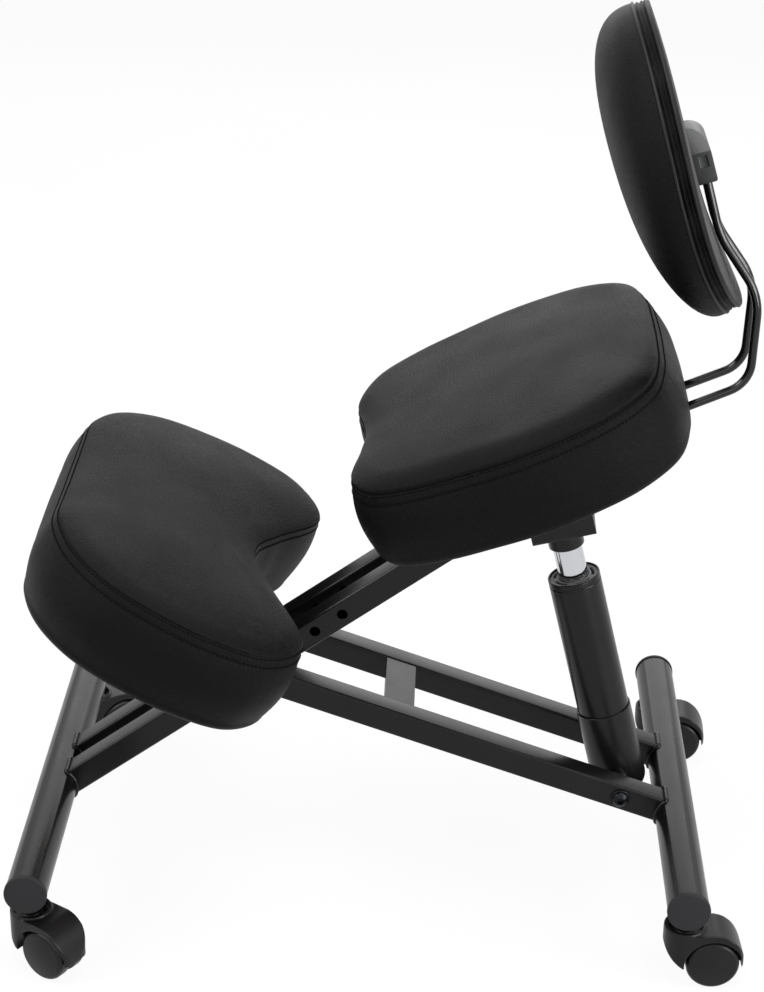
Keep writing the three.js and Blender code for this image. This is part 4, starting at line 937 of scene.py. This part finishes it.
class CHAIR_OT_lift_bracket(Operator):
    """Adds the folded bracket at the top of the gas lift, and the release lever in its side"""
    bl_idname = "chair.lift_bracket"
    bl_label = "Lift bracket and lever"

    def execute(self, context):
        fitted(self.bracket(), LIFT, "gas_cylinder", "frame", "lift_bracket")
        fitted(self.lever(), LIFT, "release_lever", "plastic", "release_lever")
        fitted(self.pin(), LIFT, "gas_cylinder", "steel", "lever_pin")
        return {"FINISHED"}

    def heights(self):
        """The bracket's floor, the lever's underside and the height of its pin."""
        under = LIFT_LENGTH - CYLINDER["head_below"] + BUTTON["to_lever"]
        return LIFT_LENGTH - BRACKET["below"], under, under + LEVER["thickness"] / 2

    def bracket(self):
        """A channel folded from plate, with two ears for the lever's pin and a slot for the lever."""
        floor, under, pin = self.heights()
        thick, bend, inner, offset = BRACKET["thickness"], BRACKET["bend"], BRACKET["inner"], BRACKET["offset"]
        outer, head, ear = inner + thick, BRACKET["head"], LEVER_PIN["ear"]
        front, rear = offset - BRACKET["length"] / 2, offset + BRACKET["length"] / 2
        top, waist = LIFT_LENGTH + head + 3, floor + BRACKET["below"] / 2
        left = [(-outer, top), (-outer, floor + bend), *arc((bend - outer, floor + bend), bend, 180, 270, 6)[1:]]
        fold = left + [(-x, z) for x, z in reversed(left)] + [
            (inner, top), (inner, floor + thick), (-inner, floor + thick), (-inner, top)]
        channel = slab("folded_bracket", fold, front - OVER, rear + OVER, "Y")
        side = [(front, floor), (rear, floor), (rear, waist), *arc((0, LIFT_LENGTH), head, 0, 180, 24), (front, waist)]
        combined(channel, slab("side", side, -outer - OVER, outer + OVER, "X"), "INTERSECT")
        pin_x = -outer - LEVER_PIN["out"]
        half = LEVER["width"] / 2 + LEVER_PIN["play"]
        root = thick / 2 - outer
        ears = [(root, pin + ear), (pin_x, pin + ear), *arc((pin_x, pin), ear, 90, 270, 12)[1:], (root, pin - ear)]
        for begin in (-half - LEVER_PIN["thickness"], half):
            combined(channel, slab("ear", ears, begin, begin + LEVER_PIN["thickness"], "Y"), "UNION")
        low, high = under - BRACKET["slot_below"], under + LEVER["thickness"] + BRACKET["slot_above"]
        for tool in (
            box("slot", (-outer - 3, -half, low), (3 - inner, half, high)),
            bar("pin_hole", LEVER_PIN["hole"], (pin_x, -20, pin), (pin_x, 20, pin), 24),
            bar("bolt_hole", BRACKET["bolt_hole"], (-60, 0, LIFT_LENGTH), (60, 0, LIFT_LENGTH)),
            bar("socket_hole", SOCKET["radius"] + GAP, (0, 0, floor - OVER), (0, 0, floor + thick + OVER), 96),
        ):
            combined(channel, tool, "DIFFERENCE")
        return rounded(channel, 0.5)

    def lever(self):
        """A flat arm that widens into a drooping paddle, with a knuckle round its pin."""
        _, under, pin = self.heights()
        half, wide, inner, outer = LEVER["width"] / 2, LEVER["paddle_width"] / 2, LEVER["inner"], LEVER["outer"]
        top, droop, bend = under + LEVER["thickness"], LEVER["droop"], LEVER["paddle"] - outer
        middle = (bend - outer) / 2
        side = [(inner, under), (inner, top), *curved((bend, top), (middle, top), (-outer, top - droop)),
                *curved((-outer, under - droop), (middle, under), (bend, under))]
        plan = [(inner + 3, -half), (inner + 3, half),
                *curved((bend, half), (bend - half, half), (bend - wide, wide)),
                *arc((wide - outer, 0), wide, 90, 270, 24),
                *curved((bend - wide, -wide), (bend - half, -half), (bend, -half))]
        arm = slab("release_arm", side, -wide - 3, wide + 3, "Y")
        combined(arm, slab("plan", plan, under - droop - OVER, top + OVER, "Z"), "INTERSECT")
        pin_x = -BRACKET["inner"] - BRACKET["thickness"] - LEVER_PIN["out"]
        combined(arm, bar("knuckle", LEVER_PIN["knuckle"], (pin_x, -half, pin), (pin_x, half, pin)), "UNION")
        combined(arm, bar("hole", LEVER_PIN["hole"], (pin_x, -wide, pin), (pin_x, wide, pin)), "DIFFERENCE")
        return rounded(arm, 0.8)

    def pin(self):
        _, _, height = self.heights()
        x = -BRACKET["inner"] - BRACKET["thickness"] - LEVER_PIN["out"]
        half = LEVER["width"] / 2 + LEVER_PIN["play"] + LEVER_PIN["thickness"] + LEVER_PIN["head"]
        return rounded(bar("lever_rivet", LEVER_PIN["radius"], (x, -half, height), (x, half, height), 32), 0.5)


# Pads

def through(points, steps):
    """A smooth closed curve through points, as a centripetal Catmull-Rom spline."""
    before, here, there, after = (np.roll(points, turn, axis=0) for turn in (1, 0, -1, -2))
    first, middle, last = (np.sqrt(np.linalg.norm(b - a, axis=1))[:, None]
                           for a, b in ((before, here), (here, there), (there, after)))
    leaving = middle * ((here - before) / first - (there - before) / (first + middle) + (there - here) / middle)
    coming = middle * ((there - here) / middle - (after - here) / (middle + last) + (after - there) / last)
    here, there, leaving, coming = (value[:, None, :] for value in (here, there, leaving, coming))
    t = (np.arange(steps) / steps)[None, :, None]
    curve = here + leaving * t + (3 * (there - here) - 2 * leaving - coming) * t ** 2 \
        + (2 * (here - there) + leaving + coming) * t ** 3
    return curve.reshape(-1, 2)


def evenly(curve, count):
    """A closed curve cut into equal steps, and the length of one step."""
    closed = np.vstack([curve, curve[:1]])
    lengths = np.r_[0, np.cumsum(np.linalg.norm(np.diff(closed, axis=0), axis=1))]
    places = np.linspace(0, lengths[-1], count, endpoint=False)
    return np.stack([np.interp(places, lengths, axis) for axis in closed.T], -1), lengths[-1] / count


def pad_outline(pad, shares, count):
    angles = np.radians(15) * np.arange(len(shares))
    radii = np.array(shares) * pad["half_width"]
    half = np.stack([radii * np.sin(angles), pad["notch"] * radii * np.cos(angles)], -1)
    other = half[-2:0:-1] * (-1, 1)
    return evenly(through(np.vstack([half, other]), 40), count)


def smooth_reach(points, outline):
    """A smooth stand-in for the distance from an outline, with no crease along its middle."""
    step = np.linalg.norm(outline[1] - outline[0])
    far = np.linalg.norm(points[:, None] - outline[None], axis=-1)
    return np.sqrt(2 / (step / np.maximum(far, step / 2) ** 3).sum(axis=1))


def off_edge(points, outline):
    """How far points lie from an outline."""
    along = np.roll(outline, -1, axis=0) - outline
    gap = points[:, None] - outline[None]
    share = np.clip((gap * along).sum(-1) / (along ** 2).sum(-1), 0, 1)
    return np.linalg.norm(gap - share[..., None] * along, axis=-1).min(axis=1)


def at_inset(outline, inset, height):
    """The outline drawn in toward its middle, at a height. Each can differ from point to point."""
    scale = 1 - np.broadcast_to(inset, len(outline)) / np.linalg.norm(outline, axis=1)
    return np.c_[outline * scale[:, None], np.broadcast_to(height, len(outline))]


def ripples(count, lowest, highest, seed):
    """A closed line of gentle, uneven waves between -1 and 1."""
    random = np.random.default_rng(seed)
    turns = np.arange(count) / count * TURN
    waves = sum(random.uniform(0.4, 1) * np.sin(n * turns + random.uniform(0, TURN)) for n in range(lowest, highest))
    return waves / np.abs(waves).max()


def repeated(name, piece, places):
    """One mesh of a modelled piece at many places. The piece itself goes."""
    count = len(piece.data.vertices)
    points = np.ones((count, 4))
    points[:, :3] = [vertex.co for vertex in piece.data.vertices]
    faces = [tuple(face.vertices) for face in piece.data.polygons]
    corners, skins = [], []
    for i, place in enumerate(places):
        corners += (points @ np.array(place).T)[:, :3].tolist()
        skins += [tuple(corner + i * count for corner in face) for face in faces]
    removed(piece)
    return meshed(name, corners, skins)


def stitched(name, line, outward, pitch, length, radius):
    """A row of stitches along a closed line, each a short round thread sunk at both ends."""
    curve, _ = evenly_3d(line, max(8, round(total_length(line) / pitch)))
    ends = np.roll(curve, -1, axis=0) - curve
    _, normals = evenly_3d(line, len(curve), outward)
    stitch = start(bpy.ops.mesh.primitive_uv_sphere_add, "stitch", segments=8, ring_count=6, radius=1)
    stitch.data.transform(Matrix.Diagonal((radius, radius, length / 2, 1)))
    places = []
    for point, along, out in zip(curve, ends, normals):
        up = Vector(along).normalized()
        out = Vector(out)
        out = (out - up * out.dot(up)).normalized()
        side = out.cross(up)
        places.append(Matrix.Translation(Vector(point) + out * radius * 0.25)
                      @ Matrix((side, out, up)).transposed().to_4x4())
    return repeated(name, stitch, places)


def total_length(line):
    return np.linalg.norm(np.roll(line, -1, axis=0) - line, axis=1).sum()


def evenly_3d(line, count, carried=None):
    """A closed line cut into equal steps, with a value carried along it."""
    closed = np.vstack([line, line[:1]])
    lengths = np.r_[0, np.cumsum(np.linalg.norm(np.diff(closed, axis=0), axis=1))]
    places = np.linspace(0, lengths[-1], count, endpoint=False)
    points = np.stack([np.interp(places, lengths, axis) for axis in closed.T], -1)
    if carried is None:
        return points, None
    carried = np.vstack([carried, carried[:1]])
    return points, np.stack([np.interp(places, lengths, axis) for axis in carried.T], -1)


class CHAIR_OT_pads(Operator):
    """Adds the seat and knee cushions with their seams, stitching and grooves for the frame"""
    bl_idname = "chair.pads"
    bl_label = "Seat and knee pads"

    def execute(self, context):
        self.pad("seat", SEAT, SEAT_SHARES, SEAT_BOARD_SHARES, SEAT_PAD, "seat_frame", self.rod_groove())
        self.pad("knee", KNEE, KNEE_SHARES, KNEE_SHARES, KNEE_PAD, "knee_frame", self.rail_grooves())
        return {"FINISHED"}

    def pad(self, name, size, shares, board_shares, place, body, tools):
        outline, _ = pad_outline(size, shares, 480)
        board, _ = pad_outline(size, board_shares, 480)
        rings, seam, rows = self.rings(size, outline, board, 7 if name == "knee" else 3)
        floor = 12.3 - size["board_under"]
        cover = skin(f"{name}_pad_cover", rings, (0, 0, size["shoulder"] + size["crown"]), (0, 0, floor))
        for tool in tools:
            combined(cover, tool, "DIFFERENCE")
        fitted(cover, place, body, "cover", f"{name}_cushion", smooth=70)
        outward = np.c_[outline / np.linalg.norm(outline, axis=1)[:, None], np.zeros(len(outline))]
        threads = [stitched(f"{name}_stitches_{i}", row, outward, 4.2, 3.2, 0.8) for i, row in enumerate(rows)]
        stitches = together(f"{name}_pad_stitches", threads)
        fitted(stitches, place, body, "thread", smooth=180)

    def rings(self, size, outline, board, seed):
        """The rings of a cushion from its crown down to its board, its seam and its two stitch lines."""
        count = len(outline)
        wide = size["shoulder_inset"]
        highest = smooth_reach(outline * 0.06, outline).max()
        puckers = ripples(count, 40, 110, seed)
        slow = ripples(count, 3, 9, seed + 1)
        rings = []
        for share in (*np.linspace(0.06, 0.78, 13), *(1 - np.geomspace(0.2, 0.006, 20))):
            flat = outline * share
            off = off_edge(flat, outline)
            rise = np.sqrt(np.clip(1 - (1 - np.minimum(off / wide, 1)) ** 2, 0, 1))
            height = (size["shoulder"] + size["crown"] * smooth_reach(flat, outline) / highest) * rise
            near = np.exp(-off / 9)
            dent = 0.14 * near * (1 - np.exp(-off / 1.2)) * puckers + 0.5 * slow * np.exp(-((off - wide) / 12) ** 2)
            rings.append(np.c_[flat, height + dent])
        seam = at_inset(outline, 0.95, -0.3)
        rings += [at_inset(outline, 0.3, 0.5), at_inset(outline, 0.6, 0.0), seam, at_inset(outline, 0.35, -0.8)]
        drop = size["depth"] - size["roll"]
        side = lambda down: (-size["flare"] * down / drop - size["bulge"] * math.sin(math.pi * min(down / drop, 1)))
        band = ripples(count, 60, 140, seed + 2)
        rows = []
        for down in (1.6, 2.4, 3.4, 4.6, 5.8, 7.0, 8.0, 9.0, 10.0, 11.5):
            sunk = 0.55 * (math.exp(-((down - 1.9) / 0.7) ** 2) + math.exp(-((down - 9.4) / 0.8) ** 2))
            loose = 0.35 * math.sin(math.pi * min(max((down - 1.6) / 7.8, 0), 1))
            rings.append(at_inset(outline, side(down) + sunk + loose * band, -down))
        for down in (1.9, 9.4):
            rows.append(at_inset(outline, side(down) + 0.3, -down))
        for down in np.linspace(14, drop, 16):
            fade = math.exp(-(down - 14) / 9)
            rings.append(at_inset(outline, side(down) + 0.3 * fade * band + 0.5 * slow, -down))
        for angle in np.linspace(0, 90, 9)[1:]:
            c, s = math.cos(math.radians(angle)), math.sin(math.radians(angle))
            rings.append(at_inset(outline, size["roll"] * (1 - c) - size["flare"] + 0.5 * slow * c, size["roll"] * (1 - s) - size["depth"]))
        inner = size["board_inset"] - 0.3
        rings += [at_inset(board, inner - 1.5, -size["depth"]), at_inset(board, inner, -size["depth"] + 1.5),
                  at_inset(board, inner, 12.3 - size["board_under"])]
        return rings, seam, rows

    def rod_groove(self):
        into = SEAT_PAD.inverted() @ Matrix.Translation(FRONT_TUBE)
        return [swept("rod_groove", placed_points(into, rod_points()), ROD["radius"] + 0.8, sides=5)]

    def rail_grooves(self):
        """Square grooves where the rails press into the knee pad, through the travel of the seat rails."""
        tools = []
        half = RAIL["side"] / 2 + 0.8
        place = KNEE_PAD.inverted() @ KNEE_RAILS
        tools += self.blocks(place, KNEE_RAIL["inner"], -KNEE_RAIL["length"], 0, 0, half)
        limits = JOINTS["seat_height"]["range_deg"]
        for turn in (limits[0], 0, limits[1]):
            about = Matrix.Translation(PIVOT) @ Matrix.Rotation(math.radians(turn), 4, "X") @ Matrix.Translation(-PIVOT)
            place = KNEE_PAD.inverted() @ about @ SEAT_RAILS
            tools += self.blocks(place, SEAT_RAIL["inner"], 0, 700, -SEAT_RAIL["drop"], half)
        bolt = bar("bolt_groove", BOLT["flange_radius"] + 0.8, (-74, 0, 0), (74, 0, 0))
        bolt.data.transform(in_millimetres(KNEE_PAD.inverted() @ placed(PIVOT, 0)))
        return tools + [bolt]

    def blocks(self, place, inner, begin, end, height, half):
        tools = []
        for sign in (-1, 1):
            middle = sign * (inner + RAIL["side"] / 2)
            tool = box("rail_groove", (middle - half, begin, height - half), (middle + half, end, height + half))
            tool.data.transform(in_millimetres(place))
            tools.append(tool)
        return tools


def in_millimetres(place):
    """A place in metres as one between millimetre frames."""
    moved = place.copy()
    moved.translation = place.translation / MM
    return moved


def placed_points(place, points):
    return [in_millimetres(place) @ Vector(point) for point in points]


# Backrest, measured from the axis of the front cross tube

def spine(x, rise, behind):
    """A point behind the bowed spine, measured square to it."""
    y = BACK["y"] - BACK["lean"] * rise + rise ** 2 / (2 * BACK["bow_radius"]) - rise ** 3 / BACK["flare"] ** 2
    slope = rise / BACK["bow_radius"] - BACK["lean"] - 3 * rise ** 2 / BACK["flare"] ** 2
    length = np.hypot(1, slope)
    return np.stack([x, y + behind / length, BACK["rise"] + rise - behind * slope / length], -1)


def back_ring(share, behind, swell=0.0, count=360):
    """A ring round the spine. It lies further behind toward the top by the swell."""
    angles = np.arange(count) / count * TURN
    wave = np.stack([np.cos(angles), np.sin(angles)])
    across, up = share * np.sign(wave) * np.abs(wave) ** (2 / BACK["squareness"])
    return spine(BACK["half_width"] * across, BACK["half_height"] * up, behind + swell * up)


def bend_points(before, corner, after, radius, steps=10):
    """Points round a bend of a bar between two straight stretches."""
    before, corner, after = Vector(before), Vector(corner), Vector(after)
    into, out = (corner - before).normalized(), (after - corner).normalized()
    turn = into.angle(out)
    tangent = radius * math.tan(turn / 2)
    handle = tangent - 4 / 3 * math.tan(turn / 4) * radius
    a, b, c, d = corner - into * tangent, corner - into * handle, corner + out * handle, corner + out * tangent
    return [a * (1 - t) ** 3 + b * 3 * t * (1 - t) ** 2 + c * 3 * t * t * (1 - t) + d * t ** 3
            for t in (step / steps for step in range(steps + 1))]


def housing_place():
    """The rod housing's frame on the back of the shell: Y out of it and Z up along it."""
    origin = spine(np.array(0.0), 0, BACK["dome"] + BACK["shell"] + 0.3)
    return Matrix.Translation(origin) @ Matrix.Rotation(math.atan(BACK["lean"]), 4, "X")


def rod_points():
    """The backrest rod's line: a hairpin from under the seat up into its housing and back."""
    into = in_millimetres(Matrix.Translation(-FRONT_TUBE) @ SEAT_PAD)
    begin = into @ Vector((ROD["seat_half"], ROD["start"], -ROD["under"]))
    lower = begin.z + (ROD["lower_y"] - begin.y) * math.tan(math.radians(23.7))
    top = housing_place() @ Vector((ROD["top_half"], HOUSING["depth"] / 2, ROD["top_up"]))
    corners = [
        (begin, 0), (Vector((ROD["lower_half"], ROD["lower_y"], lower)), ROD["lower_bend"]),
        (Vector((ROD["middle_half"], ROD["middle_y"], ROD["middle_rise"])), ROD["middle_bend"]),
        (Vector((ROD["upper_half"], ROD["bend_y"], ROD["bend_rise"])), ROD["upper_bend"]),
        (top, ROD["top_half"] - 0.2),
    ]
    corners += [(Vector((-point.x, point.y, point.z)), bend) for point, bend in reversed(corners)]
    points = [begin]
    for i in range(1, len(corners) - 1):
        points += bend_points(corners[i - 1][0], corners[i][0], corners[i + 1][0], corners[i][1])
    return points + [corners[-1][0]]


class CHAIR_OT_backrest(Operator):
    """Adds the padded backrest with its pipings, shell and rod housing, and the bent rod"""
    bl_idname = "chair.backrest"
    bl_label = "Backrest"

    def execute(self, context):
        place = Matrix.Translation(FRONT_TUBE)
        cover = self.cover()
        fitted(cover, place, "seat_frame", "cover", "backrest_cushion", smooth=70)
        pipings = [
            swept("front_piping", back_ring(0.997, -BACK["band"]).tolist(), 1.4, closed=True, sides=4),
            swept("rear_piping", back_ring(0.997, -0.6).tolist(), 1.4, closed=True, sides=4),
        ]
        piping = together("backrest_pipings", pipings)
        fitted(piping, place, "seat_frame", "piping", smooth=180)
        fitted(self.shell(), place, "seat_frame", "shell", "backrest_shell", smooth=50)
        fitted(self.housing(), place, "seat_frame", "housing", "rod_housing")
        rod = swept("bent_rod", rod_points(), ROD["radius"], sides=8)
        fitted(rod, place, "seat_frame", "rod", "backrest_rod", smooth=60)
        return {"FINISHED"}

    def cover(self):
        power = 2 / BACK["crown_squareness"]
        puckers = ripples(360, 30, 90, 11)
        rings = []
        for angle in (*np.linspace(4, 76, 20), 79, 82, 84.5, 86.5, 88, 89.2):
            c, s = math.cos(math.radians(angle)) ** power, math.sin(math.radians(angle)) ** power
            height = BACK["crown"] * c
            edge = 0.5 * math.exp(-height / 9)
            rings.append(back_ring(s, -BACK["band"] - height + edge * puckers, -BACK["swell"] * height))
        folds = ripples(360, 8, 26, 5)
        for step in np.linspace(0, 1, 25):
            fold = 0.010 * (0.5 - 0.5 * math.cos(3 * TURN * step)) * (1 + 0.4 * folds) + 0.004 * math.sin(math.pi * step)
            rings.append(back_ring(1 - fold if 0 < step < 1 else 1 - 0.006, -BACK["band"] * (1 - step) - 0.3 * step))
        for share in (0.97, 0.75, 0.4):
            rings.append(back_ring(share, BACK["dome"] * (1 - share ** 2) - 0.3))
        front = spine(np.array(0.0), 0, -BACK["band"] - BACK["crown"])
        return skin("backrest_cover", rings, front, spine(np.array(0.0), 0, BACK["dome"] - 0.3))

    def shell(self):
        """A thin dished shell with a rolled lip."""
        dome = lambda share: BACK["dome"] * (1 - share ** 2)
        rear = [(share, dome(share) + BACK["shell"]) for share in (0.1, 0.25, 0.4, 0.55, 0.7, 0.82, 0.92, 0.97, 0.985)]
        lip = [(0.993, dome(1) + BACK["shell"] - 0.3), (0.999, dome(1) + BACK["shell"] - 0.9), (1, 0.9), (0.998, 0.2)]
        front = [(share, dome(share)) for share in (0.99, 0.92, 0.7, 0.4, 0.1)]
        rings = [back_ring(share, behind) for share, behind in rear + lip + front]
        middle = np.array(0.0)
        return skin("backrest_back_shell", rings, spine(middle, 0, BACK["dome"] + BACK["shell"]),
                    spine(middle, 0, BACK["dome"]))

    def housing(self):
        """A moulded cover over the rod's loop, with sloped shoulders and a recess in each side."""
        half, foot, corner, depth = HOUSING["half_width"], HOUSING["foot"], HOUSING["corner"], HOUSING["depth"]
        crest, turn = HOUSING["crest"], HOUSING["round_from"]
        outline = [*arc((half - corner, corner - foot), corner, -90, 0, 8), (half, HOUSING["slope_foot"]),
                   (HOUSING["flat"], crest), (-HOUSING["flat"], crest), (-half, HOUSING["slope_foot"]),
                   *arc((corner - half, corner - foot), corner, 180, 270, 8)]
        side = [(-1.5, -foot), *arc((depth - 4, 4 - foot), 4, -90, 0, 8), *arc((0, turn), (depth, crest - turn), 0, 90, 24), (-1.5, crest)]
        cover = slab("rod_housing_cover", outline, -1.5, depth + 3, "Y")
        combined(cover, slab("side", side, -half - 3, half + 3, "X"), "INTERSECT")
        rounded(cover, 2, 4, 40)
        height, length = HOUSING["pocket_height"], HOUSING["pocket_length"]
        for sign in (-1, 1):
            deep = sign * (half - HOUSING["pocket_depth"])
            pocket = box("pocket", (min(deep, sign * 40), depth / 2 - height / 2, turn - length),
                         (max(deep, sign * 40), depth / 2 + height / 2, turn))
            combined(cover, rounded(pocket, 0.8), "DIFFERENCE")
        cover.data.transform(housing_place())
        return cover


# Casters

class CHAIR_OT_casters(Operator):
    """Adds the four twin-wheel casters, modelled once and copied"""
    bl_idname = "chair.casters"
    bl_label = "Casters"

    def execute(self, context):
        hood, stem, wheel = self.hood(), self.stem(), self.wheel()
        for corner in CORNERS:
            frame_body = "seat_frame" if corner.startswith("front") else "knee_frame"
            pin = Vector(JOINTS[f"{corner}_swivel"]["pos_m"])
            axis = Vector(JOINTS[f"{corner}_wheel_left_roll"]["axis"])
            upright = Matrix.Translation((pin.x, pin.y, 0))
            place = upright @ Matrix.Rotation(math.atan2(axis.y, axis.x), 4, "Z")
            fitted(copied(hood, f"{corner}_hood"), place, f"{corner}_caster", "plastic",
                   f"{corner}_caster_hood", smooth=50)
            fitted(copied(stem, f"{corner}_stem"), upright, frame_body, "steel", f"{corner}_caster_stem")
            for side, sign in SIDES:
                one = copied(wheel, f"{corner}_{side}_wheel")
                if sign < 0:
                    mirrored(one)
                fitted(one, place, f"{corner}_caster_wheel_{side}", "tyre",
                       f"{corner}_caster_wheel_{side}")
        for pattern in (hood, stem, wheel):
            removed(pattern)
        return {"FINISHED"}

    def hood(self):
        """The moulded hood: a round collar over the stem and a web with a bay for each wheel."""
        half, tail, corner = HOOD["half_width"], TRAIL + HOOD["reach"], HOOD["tail_corner"]
        reach, height, tip, bay = HOOD["reach"], HOOD["height"], HOOD["tail_tip"], HOOD["bay"]
        nose, lip, low = HOOD["nose_height"], HOOD["lip_reach"], HOOD["lip_height"]
        plan = [*arc((0, 0), half, 180, 360, 32), *curved((half, tail - corner), (half, tail), (half - corner, tail), 12),
                *curved((corner - half, tail), (-half, tail), (-half, tail - corner), 12)]
        side = [(-half, nose), (-half, HOOD["top"]), (TRAIL, WHEEL_HEIGHT + height),
                *arc((TRAIL, WHEEL_HEIGHT), (reach, height), 90, 0, 32)[1:], (tail, tip), (TRAIL + bay, tip),
                (TRAIL + 6, HOOD["web_floor"]), (TRAIL - 6, HOOD["web_floor"]), (-lip, low),
                *curved((-lip, low), (lip - half, low + (nose - low) * HOOD["nose_bend"]), (-half, nose), 10)[1:-1]]
        body = slab("caster_hood", plan, 0, HOOD["collar_top"] + 3)
        combined(body, slab("side", side, -half - 5, half + 5, "X"), "INTERSECT")
        combined(body, bar("collar", half - 0.2, (0, 0, nose), (0, 0, HOOD["collar_top"]), 96), "UNION")
        floor, high = HOOD["collar_top"] - HOOD["recess"], HOOD["collar_top"] + HOOD["boss"]
        inner, outer = HOOD["recess_inner"], HOOD["recess_outer"]
        combined(body, turned("recess", [(inner, floor), (outer, floor), (outer, high + 3), (inner, high + 3),
                                         (inner, floor)]),
                 "DIFFERENCE")
        combined(body, bar("boss", inner, (0, 0, floor - 3), (0, 0, high)), "UNION")
        for begin, end in ((HOOD["web"], half + 5), (-half - 5, -HOOD["web"])):
            combined(body, bar("bay", bay, (begin, TRAIL, WHEEL_HEIGHT), (end, TRAIL, WHEEL_HEIGHT), 96), "DIFFERENCE")
        combined(body, bar("axle_hole", 3.2, (-30, TRAIL, WHEEL_HEIGHT), (30, TRAIL, WHEEL_HEIGHT)), "DIFFERENCE")
        stem_hole = bar("stem_hole", STEM["radius"] + SNUG, (0, 0, STEM["bottom"] - SNUG), (0, 0, high + OVER))
        combined(body, stem_hole, "DIFFERENCE")
        modified(body, "REMESH", mode="VOXEL", voxel_size=0.75, use_smooth_shade=True)
        return modified(body, "SMOOTH", factor=0.5, iterations=4)

    def stem(self):
        """The grip-ring stem with its flange under the tube."""
        radius, wide, thick = STEM["radius"], STEM["flange_radius"], STEM["flange"]
        top = TUBE_HEIGHT - TUBE["radius"] - 0.3
        return turned("caster_stem", [
            (0, STEM["bottom"]), (radius, STEM["bottom"]), (radius, top - thick), (wide - 0.5, top - thick),
            (wide, top - thick + 0.5), (wide, top - 0.5), (wide - 0.5, top), (5, top), (5, top + 19), (4, top + 20), (0, top + 20),
        ], steps=64)

    def wheel(self):
        """A wheel with a rounded tread and a plain domed cap."""
        radius, face, inner, edge = WHEEL["radius"], WHEEL["outer"] - WHEEL["dome"], WHEEL["inner"], WHEEL["edge"]
        tread = min(radius, WHEEL_HEIGHT - 0.02)
        rim = tread - edge
        shares = [step / 12 for step in range(13)]
        outer = [(rim * share, face + WHEEL["dome"] * (1 - share ** 2)) for share in shares]
        body = turned("caster_wheel", [
            *outer, *arc((rim, face - edge), edge, 90, 0, 10)[1:],
            *arc((tread - 1.4, inner + 1.4), 1.4, 0, -90, 5), (3.2, inner), (3.2, 14.3), (0, 14.3),
        ], "X", 96)
        body.data.transform(Matrix.Translation((0, TRAIL, WHEEL_HEIGHT)))
        return body


# Panel and registration

class CHAIR_OT_finishes(Operator):
    """Makes the finishes, and dresses the hidden pieces of the CAD model that stay in view"""
    bl_idname = "chair.finishes"
    bl_label = "Finishes"

    def execute(self, context):
        look = context.scene.chair_finish
        coat, cover, plastic, cap, steel = (
            tuple(getattr(look, f"{part}_colour")) for part in ("frame", "cover", "plastic", "cap", "steel"))
        FINISHES.update(
            frame=powder_coat("satin_powder_coat", coat, roughness=0.28, gloss=0.22),
            rod=powder_coat("gloss_powder_coat", coat, roughness=0.14, gloss=0.4),
            caps=moulded_plastic("matt_grey_plastic", cap, roughness=0.6, grain=1.2, depth=0.03),
            plastic=moulded_plastic("satin_black_plastic", plastic, roughness=0.36, grain=0.8, depth=0.015),
            shell=moulded_plastic(
                "grained_black_plastic", linear("131314"), roughness=0.5, grain=1.1, depth=0.08, gloss=0.15),
            # The housing is black plastic; its colour is raised to a dark grey as painted light for its top-lit face
            housing=moulded_plastic(
                "grained_grey_plastic", linear("1f2021"), roughness=0.42, grain=1.1, depth=0.12, gloss=0.5),
            tyre=moulded_plastic("wheel_rubber", linear("0f0f10"), roughness=0.34, grain=0.9, depth=0.02),
            nylon=moulded_plastic("light_nylon", linear("7c7d7f"), roughness=0.5, grain=1.0, depth=0.01),
            cover=coated_fabric(cover, look.cover_roughness),
            piping=moulded_plastic("piping_cord", shade(cover, 0.7), roughness=0.5, grain=0.6, depth=0.04),
            thread=thread(linear("070707")),
            chrome=polished_chrome(),
            steel=zinc_plate("passivated_steel", steel, roughness=0.36),
            plywood=birch_plywood(),
        )
        for name, finish in DRESSED.items():
            dressed(frame["nodes"][name], finish)
        return {"FINISHED"}


class CHAIR_PT_panel(Panel):
    """Lists the steps that build the chair"""
    bl_label = "Kneeling chair"
    bl_idname = "CHAIR_PT_panel"
    bl_space_type = "VIEW_3D"
    bl_region_type = "UI"
    bl_category = "Chair"

    def draw(self, context):
        layout = self.layout
        for settings in (context.scene.chair_finish, context.scene.chair_stage):
            for name in settings.__annotations__:
                layout.prop(settings, name)
        for step in STEPS:
            layout.operator(step.bl_idname)


STEPS = (
    CHAIR_OT_finishes, CHAIR_OT_cross_tubes, CHAIR_OT_rails, CHAIR_OT_welds, CHAIR_OT_bolts, CHAIR_OT_gas_lift,
    CHAIR_OT_lift_bracket, CHAIR_OT_pads, CHAIR_OT_backrest, CHAIR_OT_casters, CHAIR_OT_stage,
)
CLASSES = (FinishSettings, StageSettings, *STEPS, CHAIR_PT_panel)


def register():
    for kind in CLASSES:
        bpy.utils.register_class(kind)
    bpy.types.Scene.chair_finish = PointerProperty(type=FinishSettings)
    bpy.types.Scene.chair_stage = PointerProperty(type=StageSettings)


def unregister():
    del bpy.types.Scene.chair_stage
    del bpy.types.Scene.chair_finish
    for kind in reversed(CLASSES):
        bpy.utils.unregister_class(kind)


def main():
    register()
    for step in STEPS:
        group, name = step.bl_idname.split(".")
        getattr(getattr(bpy.ops, group), name)()


if __name__ == "__main__":
    main()
